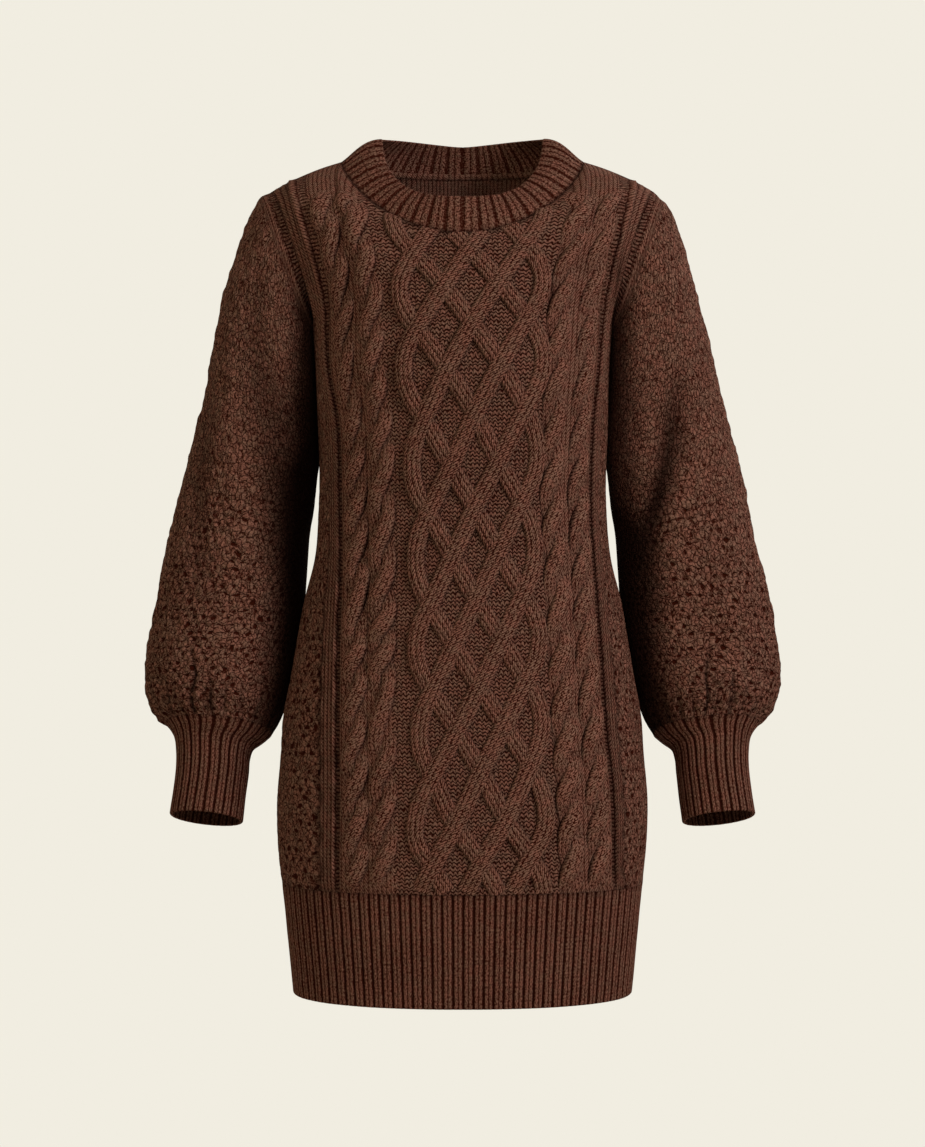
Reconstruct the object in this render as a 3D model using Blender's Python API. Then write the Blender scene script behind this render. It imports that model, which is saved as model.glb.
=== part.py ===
"""A cable-knit sweater dress, hollow and filled out as if worn.

Eight knitted pieces, each one closed wall: front, back, two balloon sleeves, neckband, hem band
and two cuffs. Metres, +Z up, +X to the wearer's left, and the front faces -Y. The origin is in the
middle of the neck opening at the height of the shoulder line, where the wearer holds the dress up.
All sizes below are in millimetres, and each mesh is scaled to metres as it is made.
"""

import bmesh
import bpy
import numpy as np

MM = 0.001
SEAM_GAP = 0.3  # room between two pieces at a seam
WALL = 2.6  # thickness of the plain knit
FULLNESS = 2.2  # superellipse exponent of the body's sections: 2 is an ellipse

# Levels, measured up from the shoulder line beside the neck.
HEM_EDGE_Z = -831.0
HEM_SEAM_Z = -721.0
ARMPIT_Z = -165.3

# The body: half width, depth forward and depth backward at each level.
BODY = {
    "z": (-831, -780, -721, -680, -640, -592, -553, -516, -480, -440, -400, -340, -270, -210, -165.3),
    "half": (169, 174, 180, 184, 185, 181, 178, 171, 165, 158, 148, 142.5, 144.5, 147.5, 150),
    "front": (110, 112, 113, 113, 112, 111, 109, 106, 103, 100, 98, 98, 104, 110, 107),
    "back": (106, 108, 111, 113, 114, 112, 109, 105, 100, 93, 86, 80, 86, 94, 97),
}
# Where the two purl ladders run down the front: they frame the cables.
LADDERS = {
    "z": (-721, -630, -555, -490, -420, -340, -265, -210, -140),
    "right_x": (-120.6, -121, -121, -121, -119.6, -120, -122.5, -132, -134.5),
    "left_x": (149, 145.5, 139.5, 135, 130.7, 126.7, 128.7, 134, 139.5),
}
BACK_CENTRE_SHARE = 0.86  # the back's middle field, as a share of the half width

# Top edge of the front and back. Columns up to the neck's side end on the neck seam, at an angle
# round it measured from the wearer's left; the others end on the shoulder seam. Over, up and
# inward are how the cloth runs into that edge: towards the other panel, upward and to the middle.
NECK_END = {"column": (0, 0.19, 0.385, 0.56, 0.73), "angle": (90, 77.5, 62, 38, 0)}
SHOULDER_END = {"column": (0.73, 0.86, 1, 1.5, 2), "x": (121, 140, 160, 176, 191)}
TOP_RUN = {
    "column": (0, 0.19, 0.385, 0.56, 0.73, 0.86, 1, 1.5, 2),
    "front_over": (30, 33, 52, 120, 240, 265, 270, 240, 180),
    "front_up": (78, 77, 76, 82, 90, 72, 52, 34, 15),
    "back_over": (36, 44, 80, 180, 330, 318, 298, 245, 180),
    "back_up": (70, 68, 62, 50, 30, 29, 28, 22, 15),
    "inward": (0, 0, 2, 14, 44, 34, 16, 0, 0),
}
SHOULDER = {"x": (121, 140, 160, 179, 191), "z": (-2, -8, -16, -25, -32)}
NECK_SIDE_COLUMN = 0.73
ARMHOLE_START = (30, 180, 0)  # how the armhole leaves the armpit: in, forward, up
ARMHOLE_SPREAD = 1.5  # how close to the armhole its run takes over from the body's
ARMHOLE_FALL_IN = 30  # how far it leans out again at the shoulder
LEAVE_STEP = 8  # height over which the body's slope at the armpit is taken
ARMHOLE_LEAN = 42  # degrees the seam's rim leans towards the body at the shoulder
RISES = tuple(k / 10 for k in range(1, 11))  # rows of points above the armpit, shared at the seams

# Neckband: the ring sewn to the body and the free edge above it.
NECK_SEAM = {
    "half": 121,
    "front": 88,
    "back": 75,
    "side_z": -2,
    "front_drop": 82,
    "back_drop": 5,
    "back_swell": 0,
}
NECK_EDGE = {
    "half": 81,
    "front": 72,
    "back": 60,
    "side_z": 20.5,
    "front_drop": 67.5,
    "back_drop": -1,
    "back_swell": 3,
}
NECK_SEAM_BEND = 1.4  # how late the seam drops on its way round to the front
NECK_RIBS = 44
NECK_SWELL = 2.0  # how far the band bows outward halfway up
NECK_LEVELS = (0.14, 0.55, 0.97)  # shares of the band's height that carry ribs
NECK_EDGE_SINK = 0.4  # how far the cast-off edge lies inward, as a share of the wall
SMALL_TURN = 0.01  # radians, for taking a direction along a ring

# Lattice cable in the middle of the front. A column is a share of the way from centre to ladder.
LATTICE_FIRST = -0.52
LATTICE_STEP = 0.215
LATTICE_STRANDS = 6
CROSSING_RISE = 42.22  # height between one row of crossings and the next
FIRST_CROSSING_Z = -102.0
CABLE_RELIEF = 4.0
STRAND_HALF = 0.45  # half a lattice strand's width, in steps
STRAND_EDGE = 0.25  # how far its rounded edge reaches in, in steps
ROPES = ((-0.8925, 0.0925), (-0.6775, 0.0925), (0.6825, 0.0875), (0.8925, 0.0925))  # centre, half
ROPE_SLANT = 0.42  # how far round its turn a rope is from its middle to its side
ROPE_WAIST = 0.2  # a rope's height between two turns, as a share of its full height
LADDER_DEPTH = 1.2
HEM_SEAM_FADE = (0.25, 0.8)  # share of the relief left on the seam and on the row above it
ROPE_SHOULDER = (1.15, 3)  # how full a rope stays across its width: level and steepness
ROWS_PER_CROSSING = 4
CLOSEST_ROWS = 4  # the least room between the hem seam and the row above it

# Sleeves: outer and inner ends of each ring across the arm (x, z), its middle's y, its half depth
# and its tilt forward in degrees. The first is the armhole, whose depth follows the body's edge
# instead, and the last is the cuff seam.
SLEEVE = (
    # outer x, outer z, inner x, inner z, middle y, depth, tilt
    (-191, -32, -150, -165.3, 0, 44, 0),
    (-201.5, -41, -151.5, -178, 2, 50, 0),
    (-210.5, -55, -151.5, -189, 4, 53, 0),
    (-219, -75, -151.5, -201, 6, 55, 0),
    (-227, -101, -151, -215, 8, 56, 0),
    (-235.5, -131, -150.5, -231, 11, 56, 0),
    (-244, -162, -150, -251, 14, 55, 0),
    (-252.5, -196, -149, -273, 17, 55, 0),
    (-261, -232, -148, -299, 20, 55, 0),
    (-269.5, -268, -146.5, -323, 22, 56, -1),
    (-279, -305, -147.5, -347, 24, 57, -2),
    (-289, -346, -151.5, -374, 26, 58, -2),
    (-299.5, -392, -154.5, -407, 28, 60, -2),
    (-309, -436, -158.5, -442, 28, 63, 0),
    (-317, -478, -163.5, -480, 27, 66, 4),
    (-320, -516, -171.5, -519, 22, 67, 9),
    (-316.5, -541, -178, -546, 17, 64, 14),
    (-309, -556, -184.5, -562, 14, 58, 17),
    (-298, -565, -192, -574, 12, 52, 19),
)
GATHER_ROWS = (16, 17)
GATHER_DEPTH = 1.2

CUFF = (
    # outer x, outer z, inner x, inner z, middle y, depth, tilt
    (-298, -565, -192, -574, 12, 52, 19),
    (-292.5, -572, -199.5, -581, 10, 46, 18),
    (-288.5, -580, -209, -588, 7.5, 40, 18),
    (-286.5, -592, -212.5, -598, 4, 36.5, 17.5),
    (-286, -606, -213.5, -612, -0.5, 35, 17.5),
    (-288, -630, -216, -636, -7, 34.5, 17.5),
    (-291, -653, -218.5, -660, -14, 35, 17.5),
)
CUFF_RIBS = 24
HEM_RIBS = 92
RIB_RELIEF = 1.8
RIB_POINTS = 2  # points round the outside for each rib: its furrow and its crest
RIBBED_CORE = 0.7  # wall left under the furrows of a cuff or the hem, as a share of the plain wall
CUFF_CORE_ROWS = (0, 2, 4, 6)  # rings that the plain inside of a cuff shares with its outside
SLEEVE_FULLNESS = 2.1

WOOL = (0.072, 0.030, 0.019, 1.0)
WOOL_DEEP = (0.060, 0.024, 0.015, 1.0)


# ---------------------------------------------------------------- curves and forms


def smooth(xs, ys, x):
    """Read a smooth curve through the table's points (Catmull-Rom slopes, held flat past its ends)."""
    xs, ys, x = np.asarray(xs, float), np.asarray(ys, float), np.asarray(x, float)
    slopes = np.gradient(ys, xs)
    place = np.clip(x, xs[0], xs[-1])
    k = np.clip(np.searchsorted(xs, place, side="right") - 1, 0, len(xs) - 2)
    step = xs[k + 1] - xs[k]
    s = (place - xs[k]) / step
    return (
        (1 + 2 * s) * (1 - s) ** 2 * ys[k]
        + s * (1 - s) ** 2 * step * slopes[k]
        + s * s * (3 - 2 * s) * ys[k + 1]
        + s * s * (s - 1) * step * slopes[k + 1]
    )


def unit(v):
    """Vectors of length one along the last axis."""
    v = np.asarray(v, float)
    return v / np.maximum(np.linalg.norm(v, axis=-1, keepdims=True), 1e-9)


def body_at(z, facing):
    """Half width and depth of the body at a level; facing is -1 for the front and +1 for the back."""
    depth = "front" if facing < 0 else "back"
    return smooth(BODY["z"], BODY["half"], z), smooth(BODY["z"], BODY[depth], z)


def neck_ring(ring, angle, bend=1.0):
    """Points of a neck ring; angle 0 is the wearer's left, 90 degrees the front, 270 the back."""
    across, forward = np.cos(angle), np.sin(angle)
    front = forward >= 0
    depth = np.where(front, ring["front"], ring["back"])
    front_drop = ring["front_drop"] * np.abs(forward) ** bend
    back_drop = ring["back_drop"] * np.abs(forward) - ring["back_swell"] * np.abs(np.sin(2 * angle))
    drop = np.where(front, front_drop, back_drop)
    return np.stack([ring["half"] * across, -depth * forward, ring["side_z"] - drop], -1)


def neck_seam(angle):
    return neck_ring(NECK_SEAM, angle, NECK_SEAM_BEND)


def neck_edge(angle):
    return neck_ring(NECK_EDGE, angle)


def neck_frame(angle):
    """Directions up the band and outward from it, at the seam."""
    up = unit(neck_edge(angle) - neck_seam(angle))
    along = unit(neck_seam(angle + SMALL_TURN) - neck_seam(angle - SMALL_TURN))
    beside_neck = np.abs(np.sin(angle)) < SMALL_TURN / 100
    along[beside_neck] = np.stack([0 * angle, -np.cos(angle), 0 * angle], -1)[beside_neck]
    return up, unit(np.cross(up, along))


def lower_point(column, z, facing):
    """A point of the front or back below the armpit.

    Columns -1 to 1 lie between the ladders, and 1 to 2 run round to the side seam.
    """
    half, depth = body_at(z, facing)
    if facing < 0:
        right = smooth(LADDERS["z"], LADDERS["right_x"], z)
        left = smooth(LADDERS["z"], LADDERS["left_x"], z)
    else:
        left = BACK_CENTRE_SHARE * half
        right = -left
    inner = np.clip(column, -1, 1)
    x = (left + right) / 2 + inner * (left - right) / 2
    turn = np.arccos(np.clip(np.abs(x) / half, 0, 1) ** (FULLNESS / 2))
    turn = turn * (1 - np.clip(np.abs(column) - 1, 0, 1))
    x = np.sign(x) * half * np.cos(turn) ** (2 / FULLNESS)
    y = facing * depth * np.sin(turn) ** (2 / FULLNESS)
    return np.stack([x, y, z + 0 * x], -1)


def neck_angle(column, facing):
    """Angle round the neck seam where a column ends."""
    angle = np.radians(smooth(NECK_END["column"], NECK_END["angle"], np.abs(column)))
    angle = np.where(column < 0, np.pi - angle, angle)
    return angle if facing < 0 else -angle


def top_point(column, facing):
    """Where a column ends: on the neck seam, or on the shoulder seam."""
    on_neck = np.abs(column) <= NECK_SIDE_COLUMN + 1e-9
    neck = neck_seam(neck_angle(column, facing))
    reach = smooth(SHOULDER_END["column"], SHOULDER_END["x"], np.abs(column))
    fall = smooth(SHOULDER["x"], SHOULDER["z"], reach)
    shoulder = np.stack([reach * np.sign(column), 0 * reach, fall], -1)
    return np.where(on_neck[..., None], neck, shoulder)


def upper_point(column, rise, facing):
    """A point of the front or back above the armpit; rise runs from 0 there to 1 at the top edge."""
    start, end = lower_point(column, ARMPIT_Z + 0 * column, facing), top_point(column, facing)
    below = lower_point(column, ARMPIT_Z - LEAVE_STEP + 0 * column, facing)
    height = np.linalg.norm(end - start, axis=-1, keepdims=True)
    side = np.clip(np.abs(column) - 1, 0, 1)[..., None] ** ARMHOLE_SPREAD
    sign = np.sign(column)[..., None]
    inward, forward, up = ARMHOLE_START
    leave = (start - below) / LEAVE_STEP * height * (1 - side)
    leave = leave + side * np.concatenate([-sign * inward, facing * forward + 0 * sign, up + 0 * sign], -1)
    panel_name = "front" if facing < 0 else "back"
    over, lift, aside = (
        smooth(TOP_RUN["column"], TOP_RUN[run], np.abs(column))[..., None]
        for run in (panel_name + "_over", panel_name + "_up", "inward")
    )
    aside = ARMHOLE_FALL_IN * side - aside
    arrive = np.concatenate([sign * aside, -facing * over, lift], -1)
    s = rise[..., None]
    return (
        (1 + 2 * s) * (1 - s) ** 2 * start
        + s * (1 - s) ** 2 * leave
        + s * s * (3 - 2 * s) * end
        + s * s * (s - 1) * arrive
    )


def panel_grid(columns, levels, rises, facing):
    """The panel's outer form as rows of points, from the hem seam up to the top edge."""
    rows = [lower_point(columns, z + 0 * columns, facing) for z in levels]
    rows += [upper_point(columns, rise + 0 * columns, facing) for rise in rises]
    return np.array(rows)


def grid_normals(points, facing):
    """Outward normals of a panel's grid of points."""
    across = np.gradient(points, axis=1)
    upward = np.gradient(points, axis=0)
    return unit(np.cross(across, upward)) * (1 if facing < 0 else -1)


def knit_height(points, armpit_row):
    """Height of each point in knitted rows: the level below the armpit, the cloth's length above."""
    height = points[:, :, 2].copy()
    steps = np.linalg.norm(np.diff(points[armpit_row:], axis=0), axis=-1)
    height[armpit_row + 1 :] = ARMPIT_Z + np.cumsum(steps, axis=0)
    return height


# ---------------------------------------------------------------- relief


def strand_place(strand, height):
    """Where a lattice strand lies, in steps from the first, at a height in knitted rows.

    A strand climbs to one side, bends round at the lattice's edge and climbs back.
    """
    turns = (height - FIRST_CROSSING_Z) / CROSSING_RISE
    there_and_back = 2 * LATTICE_STRANDS
    phase = np.mod(turns + 2 * strand + 1, there_and_back)
    place = np.where(phase < LATTICE_STRANDS, phase, there_and_back - phase) - 0.5
    return np.clip(place, 0, LATTICE_STRANDS - 1)


def lattice_relief(column, height):
    """Share of the cable's full height, from the nearest of the strands."""
    place = (column - LATTICE_FIRST) / LATTICE_STEP
    nearest = np.full(np.shape(place), 9.0)
    for strand in range(LATTICE_STRANDS):
        nearest = np.minimum(nearest, np.abs(place - strand_place(strand, height)))
    edge = np.clip((STRAND_HALF - nearest) / STRAND_EDGE, 0, 1)
    return edge * edge * (3 - 2 * edge)


def rope_relief(column, height):
    """Share of the cable's full height on the four ropes: slanting turns, one above the other."""
    relief = np.zeros(np.shape(column))
    level, steepness = ROPE_SHOULDER
    turns = (height - FIRST_CROSSING_Z) / CROSSING_RISE
    for centre, half in ROPES:
        across = (column - centre) / half
        envelope = np.clip(level - np.abs(across) ** steepness, 0, 1)
        wave = 0.5 + 0.5 * np.cos(2 * np.pi * (turns - ROPE_SLANT * across))
        relief = np.maximum(relief, envelope * (ROPE_WAIST + (1 - ROPE_WAIST) * wave))
    return relief


def front_relief(column, height):
    """Height of the front's cables above its ground, in millimetres."""
    ladder = np.abs(np.abs(column) - 1.0) < 0.012
    cables = np.maximum(lattice_relief(column, height), rope_relief(column, height))
    cables = np.where(np.abs(column) < 0.99, cables, 0)
    return CABLE_RELIEF * cables - LADDER_DEPTH * ladder


# ---------------------------------------------------------------- meshes


class Wall:
    """Collects a piece's points and faces, in millimetres."""

    def __init__(self):
        self.points = []
        self.faces = []

    def add(self, points):
        """Add a block of points and return their numbers, in the block's own shape."""
        points = np.asarray(points, float)
        first = len(self.points)
        self.points.extend(points.reshape(-1, 3))
        return np.arange(first, first + points.size // 3).reshape(points.shape[:-1])

    def sheet(self, grid, heights=None, closed=False):
        """Cover a grid of numbered points, each cell folded along its higher diagonal.

        A level cell is folded towards the nearer side, so that both sides are alike.
        """
        rows, columns = grid.shape
        for i in range(rows - 1):
            for j in range(columns if closed else columns - 1):
                k = (j + 1) % columns
                a, b, c, d = grid[i, j], grid[i, k], grid[i + 1, k], grid[i + 1, j]
                rising = closed or 2 * j + 1 >= columns
                if heights is not None:
                    lean = heights[i, j] + heights[i + 1, k] - heights[i, k] - heights[i + 1, j]
                    rising = lean > 0 if abs(lean) > 0.01 else rising
                pair = ((a, b, c), (a, c, d)) if rising else ((a, b, d), (b, c, d))
                self.faces.extend(pair)

    def zip(self, first, first_at, second, second_at, closed=False):
        """Join two lines of points that run side by side, each with its own places along them."""
        first, second = list(first), list(second)
        first_at, second_at = list(first_at), list(second_at)
        if closed:
            first.append(first[0])
            second.append(second[0])
            first_at.append(first_at[0] + 1)
            second_at.append(second_at[0] + 1)
        i = j = 0
        while i < len(first) - 1 or j < len(second) - 1:
            last = j == len(second) - 1
            if last or (i < len(first) - 1 and first_at[i + 1] <= second_at[j + 1]):
                self.faces.append((first[i], second[j], first[i + 1]))
                i += 1
            else:
                self.faces.append((first[i], second[j], second[j + 1]))
                j += 1

    def object(self, name, colour):
        """Make the closed mesh, with its own knit material."""
        mesh = bpy.data.meshes.new(name)
        mesh.from_pydata([tuple(p * MM) for p in self.points], [], [tuple(map(int, f)) for f in self.faces])
        work = bmesh.new()
        work.from_mesh(mesh)
        bmesh.ops.recalc_face_normals(work, faces=work.faces)
        work.to_mesh(mesh)
        work.free()
        material = bpy.data.materials.new(name + " wool")
        material.use_nodes = True
        shader = material.node_tree.nodes["Principled BSDF"]
        shader.inputs["Base Color"].default_value = colour
        shader.inputs["Roughness"].default_value = 0.9
        mesh.materials.append(material)
        mesh.shade_smooth()
        mesh.set_sharp_from_angle(angle=np.radians(50))
        piece = bpy.data.objects.new(name, mesh)
        bpy.context.scene.collection.objects.link(piece)
        return piece


def around(count):
    """Places of evenly spaced points round a closed ring, from 0 to 1."""
    return np.arange(count) / count


# ---------------------------------------------------------------- the pieces


def armhole_rim(points):
    """Direction through the wall along an armhole, from the armpit row up to the shoulder."""
    middle = (points[0] + points[-1]) / 2
    share = np.linspace(0, 1, len(points))
    lean = np.radians(ARMHOLE_LEAN * share)
    inward = np.stack([np.zeros(len(points)), middle[1] - points[:, 1], middle[2] - points[:, 2]], -1)
    inward[0] = (0, 0, 1)
    inward[-1] = (0, 0, -1)
    to_body = np.array([-np.sign(points[0, 0]), 0, 0])
    rim = unit(inward) * np.cos(lean)[:, None] + to_body * np.sin(lean)[:, None]
    return rim / np.cos(lean)[:, None]


def armhole_shift(sign):
    """Unit vector from the body into the sleeve, square to the armhole's plane."""
    outer_x, outer_z, inner_x, inner_z = SLEEVE[0][:4]
    lean = unit(np.array([outer_z - inner_z, 0, -(outer_x - inner_x)]))
    return lean * np.array([sign, 1, -1])


def panel(name, columns, levels, rises, facing, coarse_columns, coarse_rows, relief):
    """The front or the back: a wall with relief outside and plain inside."""
    base = panel_grid(columns, levels, rises, facing)
    armpit_row = len(levels) - 1
    normals = grid_normals(base, facing)
    level_rim = normals[0].copy()
    level_rim[:, 2] = 0
    normals[0] = unit(level_rim)
    for edge in (0, -1):
        seam = normals[: armpit_row + 1, edge]
        seam[:, 1] = 0
        seam[:, 2] = 0
        normals[: armpit_row + 1, edge] = unit(seam)
    fade = np.ones(base.shape[:2])
    fade[:2] = [[HEM_SEAM_FADE[0]], [HEM_SEAM_FADE[1]]]
    fade[-1] = 0
    fade[armpit_row:, 0] = 0
    fade[armpit_row:, -1] = 0
    heights = relief(columns[None, :] + 0 * base[:, :, 2], knit_height(base, armpit_row)) * fade
    outer = base + normals * heights[:, :, None]
    inner = base - normals * WALL

    # Neck edge: the rim stands square to the band that joins it.
    on_neck = np.abs(columns) <= NECK_SIDE_COLUMN + 1e-9
    up, out = neck_frame(neck_angle(columns, facing))
    outer[-1, on_neck] = base[-1, on_neck] - up[on_neck] * SEAM_GAP / 2
    inner[-1, on_neck] = outer[-1, on_neck] - out[on_neck] * WALL
    # Shoulder edge: in the plane between front and back.
    on_shoulder = ~on_neck
    across = unit(np.gradient(base[-1], axis=0) * (1, 0, 1))
    down = np.stack([across[:, 2], 0 * across[:, 2], -across[:, 0]], -1)
    outer[-1, on_shoulder] = base[-1, on_shoulder]
    inner[-1, on_shoulder] = base[-1, on_shoulder] + down[on_shoulder] * WALL
    # Armholes: the rim is mitred with the sleeve's.
    for edge in (0, -1):
        curve = base[armpit_row:, edge]
        shift = armhole_shift(np.sign(curve[0, 0])) * SEAM_GAP / 2
        outer[armpit_row:, edge] = curve - shift
        inner[armpit_row:, edge] = curve - shift + armhole_rim(curve) * WALL
    # Side and shoulder seams lie in the plane between front and back.
    gap = facing * SEAM_GAP / 2
    for block in (outer, inner):
        block[: armpit_row + 1, (0, -1), 1] = gap
        block[-1, on_shoulder, 1] = gap
        block[-1, np.isclose(np.abs(columns), NECK_SIDE_COLUMN), 1] = gap
        block[0, :, 2] = HEM_SEAM_Z + SEAM_GAP / 2

    wall = Wall()
    outside = wall.add(outer)
    inside = wall.add(inner)
    wall.sheet(outside, heights)
    rows_at, columns_at = np.arange(len(base)), np.arange(len(columns))
    for fine, at in (
        ((outside[0], inside[0]), columns_at),
        ((outside[-1], inside[-1]), columns_at),
        ((outside[:, 0], inside[:, 0]), rows_at),
        ((outside[:, -1], inside[:, -1]), rows_at),
    ):
        wall.zip(fine[0], at, fine[1], at)
    core = inside[np.ix_(coarse_rows, coarse_columns)]
    wall.sheet(core)
    wall.zip(inside[0], columns_at, core[0], coarse_columns)
    wall.zip(inside[-1], columns_at, core[-1], coarse_columns)
    wall.zip(inside[:, 0], rows_at, core[:, 0], coarse_rows)
    wall.zip(inside[:, -1], rows_at, core[:, -1], coarse_rows)
    return drop_unused(wall).object(name, WOOL)


def drop_unused(wall):
    """Leave out points that no face uses."""
    used = np.unique(np.array(wall.faces))
    number = {old: new for new, old in enumerate(used)}
    wall.points = [wall.points[k] for k in used]
    wall.faces = [tuple(number[k] for k in face) for face in wall.faces]
    return wall


def front_columns():
    """The front's columns of points: four for each step of the lattice, closer at the ladders."""
    lattice = LATTICE_FIRST + LATTICE_STEP * np.arange(-2, 4 * LATTICE_STRANDS - 1) / 4
    side = np.array([-2, -1.7, -1.4, -1.12, -1.02, -1.0, -0.955, -0.8925, -0.83, -0.785, -0.73])
    return np.concatenate([side, [-0.6775], lattice, [0.6825], -side[::-1]])


def back_columns():
    """The back's columns of points, closer where the neck seam bends round to the shoulder."""
    half = np.array([0.13, 0.26, 0.385, 0.48, 0.56, 0.62, 0.6775, 0.73, 0.865, 1, 1.3, 1.65, 2])
    return np.concatenate([-half[::-1], [0], half])


def make_front():
    columns = front_columns()
    armpit_step = np.round((FIRST_CROSSING_Z - ARMPIT_Z) / CROSSING_RISE * ROWS_PER_CROSSING)
    steps = np.arange(armpit_step, armpit_step + 60)
    levels = FIRST_CROSSING_Z - steps * CROSSING_RISE / ROWS_PER_CROSSING
    levels = np.append(levels[levels > HEM_SEAM_Z + CLOSEST_ROWS], HEM_SEAM_Z)[::-1]
    levels[-1] = ARMPIT_Z
    last = len(columns) - 1
    coarse_columns = np.array([1, 2, 3, 5, 7, 9, *range(13, last - 12, 4), last - 9, last - 7,
                               last - 5, last - 3, last - 2, last - 1])
    rows = len(levels) + len(RISES)
    coarse_rows = np.array([2, *range(6, len(levels) - 3, 4), *range(len(levels) - 1, rows - 1, 2)])
    return panel("front", columns, levels, RISES, -1, coarse_columns, coarse_rows, front_relief)


def make_back():
    columns = back_columns()
    levels = np.linspace(HEM_SEAM_Z, ARMPIT_Z, 15)
    rows = len(levels) + len(RISES)
    coarse_columns = np.arange(1, len(columns) - 1, 2)
    coarse_rows = np.array([1, *range(2, len(levels) - 1, 2), *range(len(levels) - 1, rows - 1, 2)])
    return panel("back", columns, levels, RISES, 1, coarse_columns, coarse_rows,
                 lambda column, height: 0 * column)


def arm_ring(row, sign, angle, inset=0.0):
    """Points round one ring of a sleeve or cuff; angle 0 is its outer end, 90 degrees its front."""
    outer_x, outer_z, inner_x, inner_z, middle_y, depth, tilt = row
    outer_end = np.array([outer_x, middle_y, outer_z])
    inner_end = np.array([inner_x, middle_y, inner_z])
    half = (outer_end - inner_end) / 2
    across = unit(half)
    forward = np.array([0, -np.cos(np.radians(tilt)), np.sin(np.radians(tilt))])
    c, s = np.cos(angle), np.sin(angle)
    c = np.sign(c) * np.abs(c) ** (2 / SLEEVE_FULLNESS)
    s = np.sign(s) * np.abs(s) ** (2 / SLEEVE_FULLNESS)
    reach, depth = np.linalg.norm(half) - inset, depth - inset
    ring = (outer_end + inner_end) / 2 + np.outer(reach * c, across) + np.outer(depth * s, forward)
    return ring * np.array([-sign, 1, 1])


def ring_shift(row, sign):
    """Unit vector down the arm, square to a ring's plane."""
    outer_x, outer_z, inner_x, inner_z, _, _, tilt = row
    half = np.array([outer_x - inner_x, 0, outer_z - inner_z])
    forward = np.array([0, -np.cos(np.radians(tilt)), np.sin(np.radians(tilt))])
    down = unit(np.cross(half, forward))
    down = down if down[2] < 0 else -down
    return down * np.array([-sign, 1, 1])


def armhole_ring(sign):
    """The armhole's points: shoulder, down the front, armpit, up the back; and its rim."""
    column = np.array([2.0 * sign])
    rises = np.array((0,) + RISES)
    halves = {}
    for facing in (-1, 1):
        curve = np.array([upper_point(column, rise + 0 * column, facing)[0] for rise in rises])
        halves[facing] = (curve, armhole_rim(curve))
    front, front_rim = halves[-1]
    back, back_rim = halves[1]
    points = np.concatenate([front[::-1], back[1:-1]])
    rim = np.concatenate([front_rim[::-1], back_rim[1:-1]])
    return points + armhole_shift(sign) * SEAM_GAP / 2, rim


def make_sleeve(name, sign):
    """One balloon sleeve, from the armhole to the cuff seam, with its gathers."""
    armhole, rim = armhole_ring(sign)
    count = len(armhole)
    angle = 2 * np.pi * around(count)
    outer, inner = [armhole], [armhole + rim * WALL]
    for number, row in enumerate(SLEEVE[1:], start=1):
        gathered = GATHER_DEPTH * (number in GATHER_ROWS)
        ring = arm_ring(row, sign, angle)
        dented = arm_ring(row, sign, angle, gathered)
        ring[1::2] = dented[1::2]
        outer.append(ring)
        inner.append(arm_ring(row, sign, angle, WALL + gathered))
    stop = ring_shift(SLEEVE[-1], sign) * SEAM_GAP / 2
    outer[-1] = outer[-1] - stop
    inner[-1] = inner[-1] - stop
    wall = Wall()
    outside = wall.add(np.array(outer))
    inside = wall.add(np.array(inner)[[0, 1, *range(2, len(inner) - 2, 2), -2, -1]])
    wall.sheet(outside, closed=True)
    wall.sheet(inside, closed=True)
    places = around(count)
    wall.zip(outside[0], places, inside[0], places, closed=True)
    wall.zip(outside[-1], places, inside[-1], places, closed=True)
    return wall.object(name, WOOL)


def ribbed_tube(name, outer_rings, inner_rings):
    """A ribbed band: fine rings outside, coarse rings inside, and a flat rim at each end."""
    wall = Wall()
    outside = wall.add(np.array(outer_rings))
    inside = wall.add(np.array(inner_rings))
    wall.sheet(outside, closed=True)
    wall.sheet(inside, closed=True)
    for end in (0, -1):
        wall.zip(outside[end], around(outside.shape[1]), inside[end], around(inside.shape[1]), closed=True)
    return wall.object(name, WOOL_DEEP)


def rib_share(ribs):
    """Share of the rib's height at each point round a ribbed ring: a furrow, then a crest."""
    return np.tile([0.0, 1.0], ribs)[:, None]


def make_cuff(name, sign):
    """One cuff: its ribs fan out above to meet the gathered sleeve."""
    fine = 2 * np.pi * around(CUFF_RIBS * RIB_POINTS)
    coarse = 2 * np.pi * around(CUFF_RIBS)
    share = rib_share(CUFF_RIBS)
    outer, inner = [], []
    for number, row in enumerate(CUFF):
        crest, furrow = arm_ring(row, sign, fine), arm_ring(row, sign, fine, RIB_RELIEF)
        inside = arm_ring(row, sign, coarse, RIB_RELIEF + WALL * RIBBED_CORE)
        shift = ring_shift(row, sign) * SEAM_GAP / 2 * (number == 0)
        outer.append(furrow + (crest - furrow) * share + shift)
        if number in CUFF_CORE_ROWS:
            inner.append(inside + shift)
    return ribbed_tube(name, outer, inner)


def even_ring(z, count):
    """Evenly spaced points round the body at a level, starting at the wearer's left."""
    angle = np.linspace(0, 2 * np.pi, 721)
    ring = body_ring(z, angle)
    length = np.concatenate([[0], np.cumsum(np.linalg.norm(np.diff(ring, axis=0), axis=-1))])
    return np.interp(around(count) * length[-1], length, angle)


def body_ring(z, angle, inset=0.0):
    """Points round the body at a level."""
    half, front = body_at(z, -1)
    _, back = body_at(z, 1)
    c, s = np.cos(angle), np.sin(angle)
    depth = np.where(s >= 0, front, back) - inset
    x = (half - inset) * np.sign(c) * np.abs(c) ** (2 / FULLNESS)
    y = -depth * np.sign(s) * np.abs(s) ** (2 / FULLNESS)
    return np.stack([x, y, z + 0 * x], -1)


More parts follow.
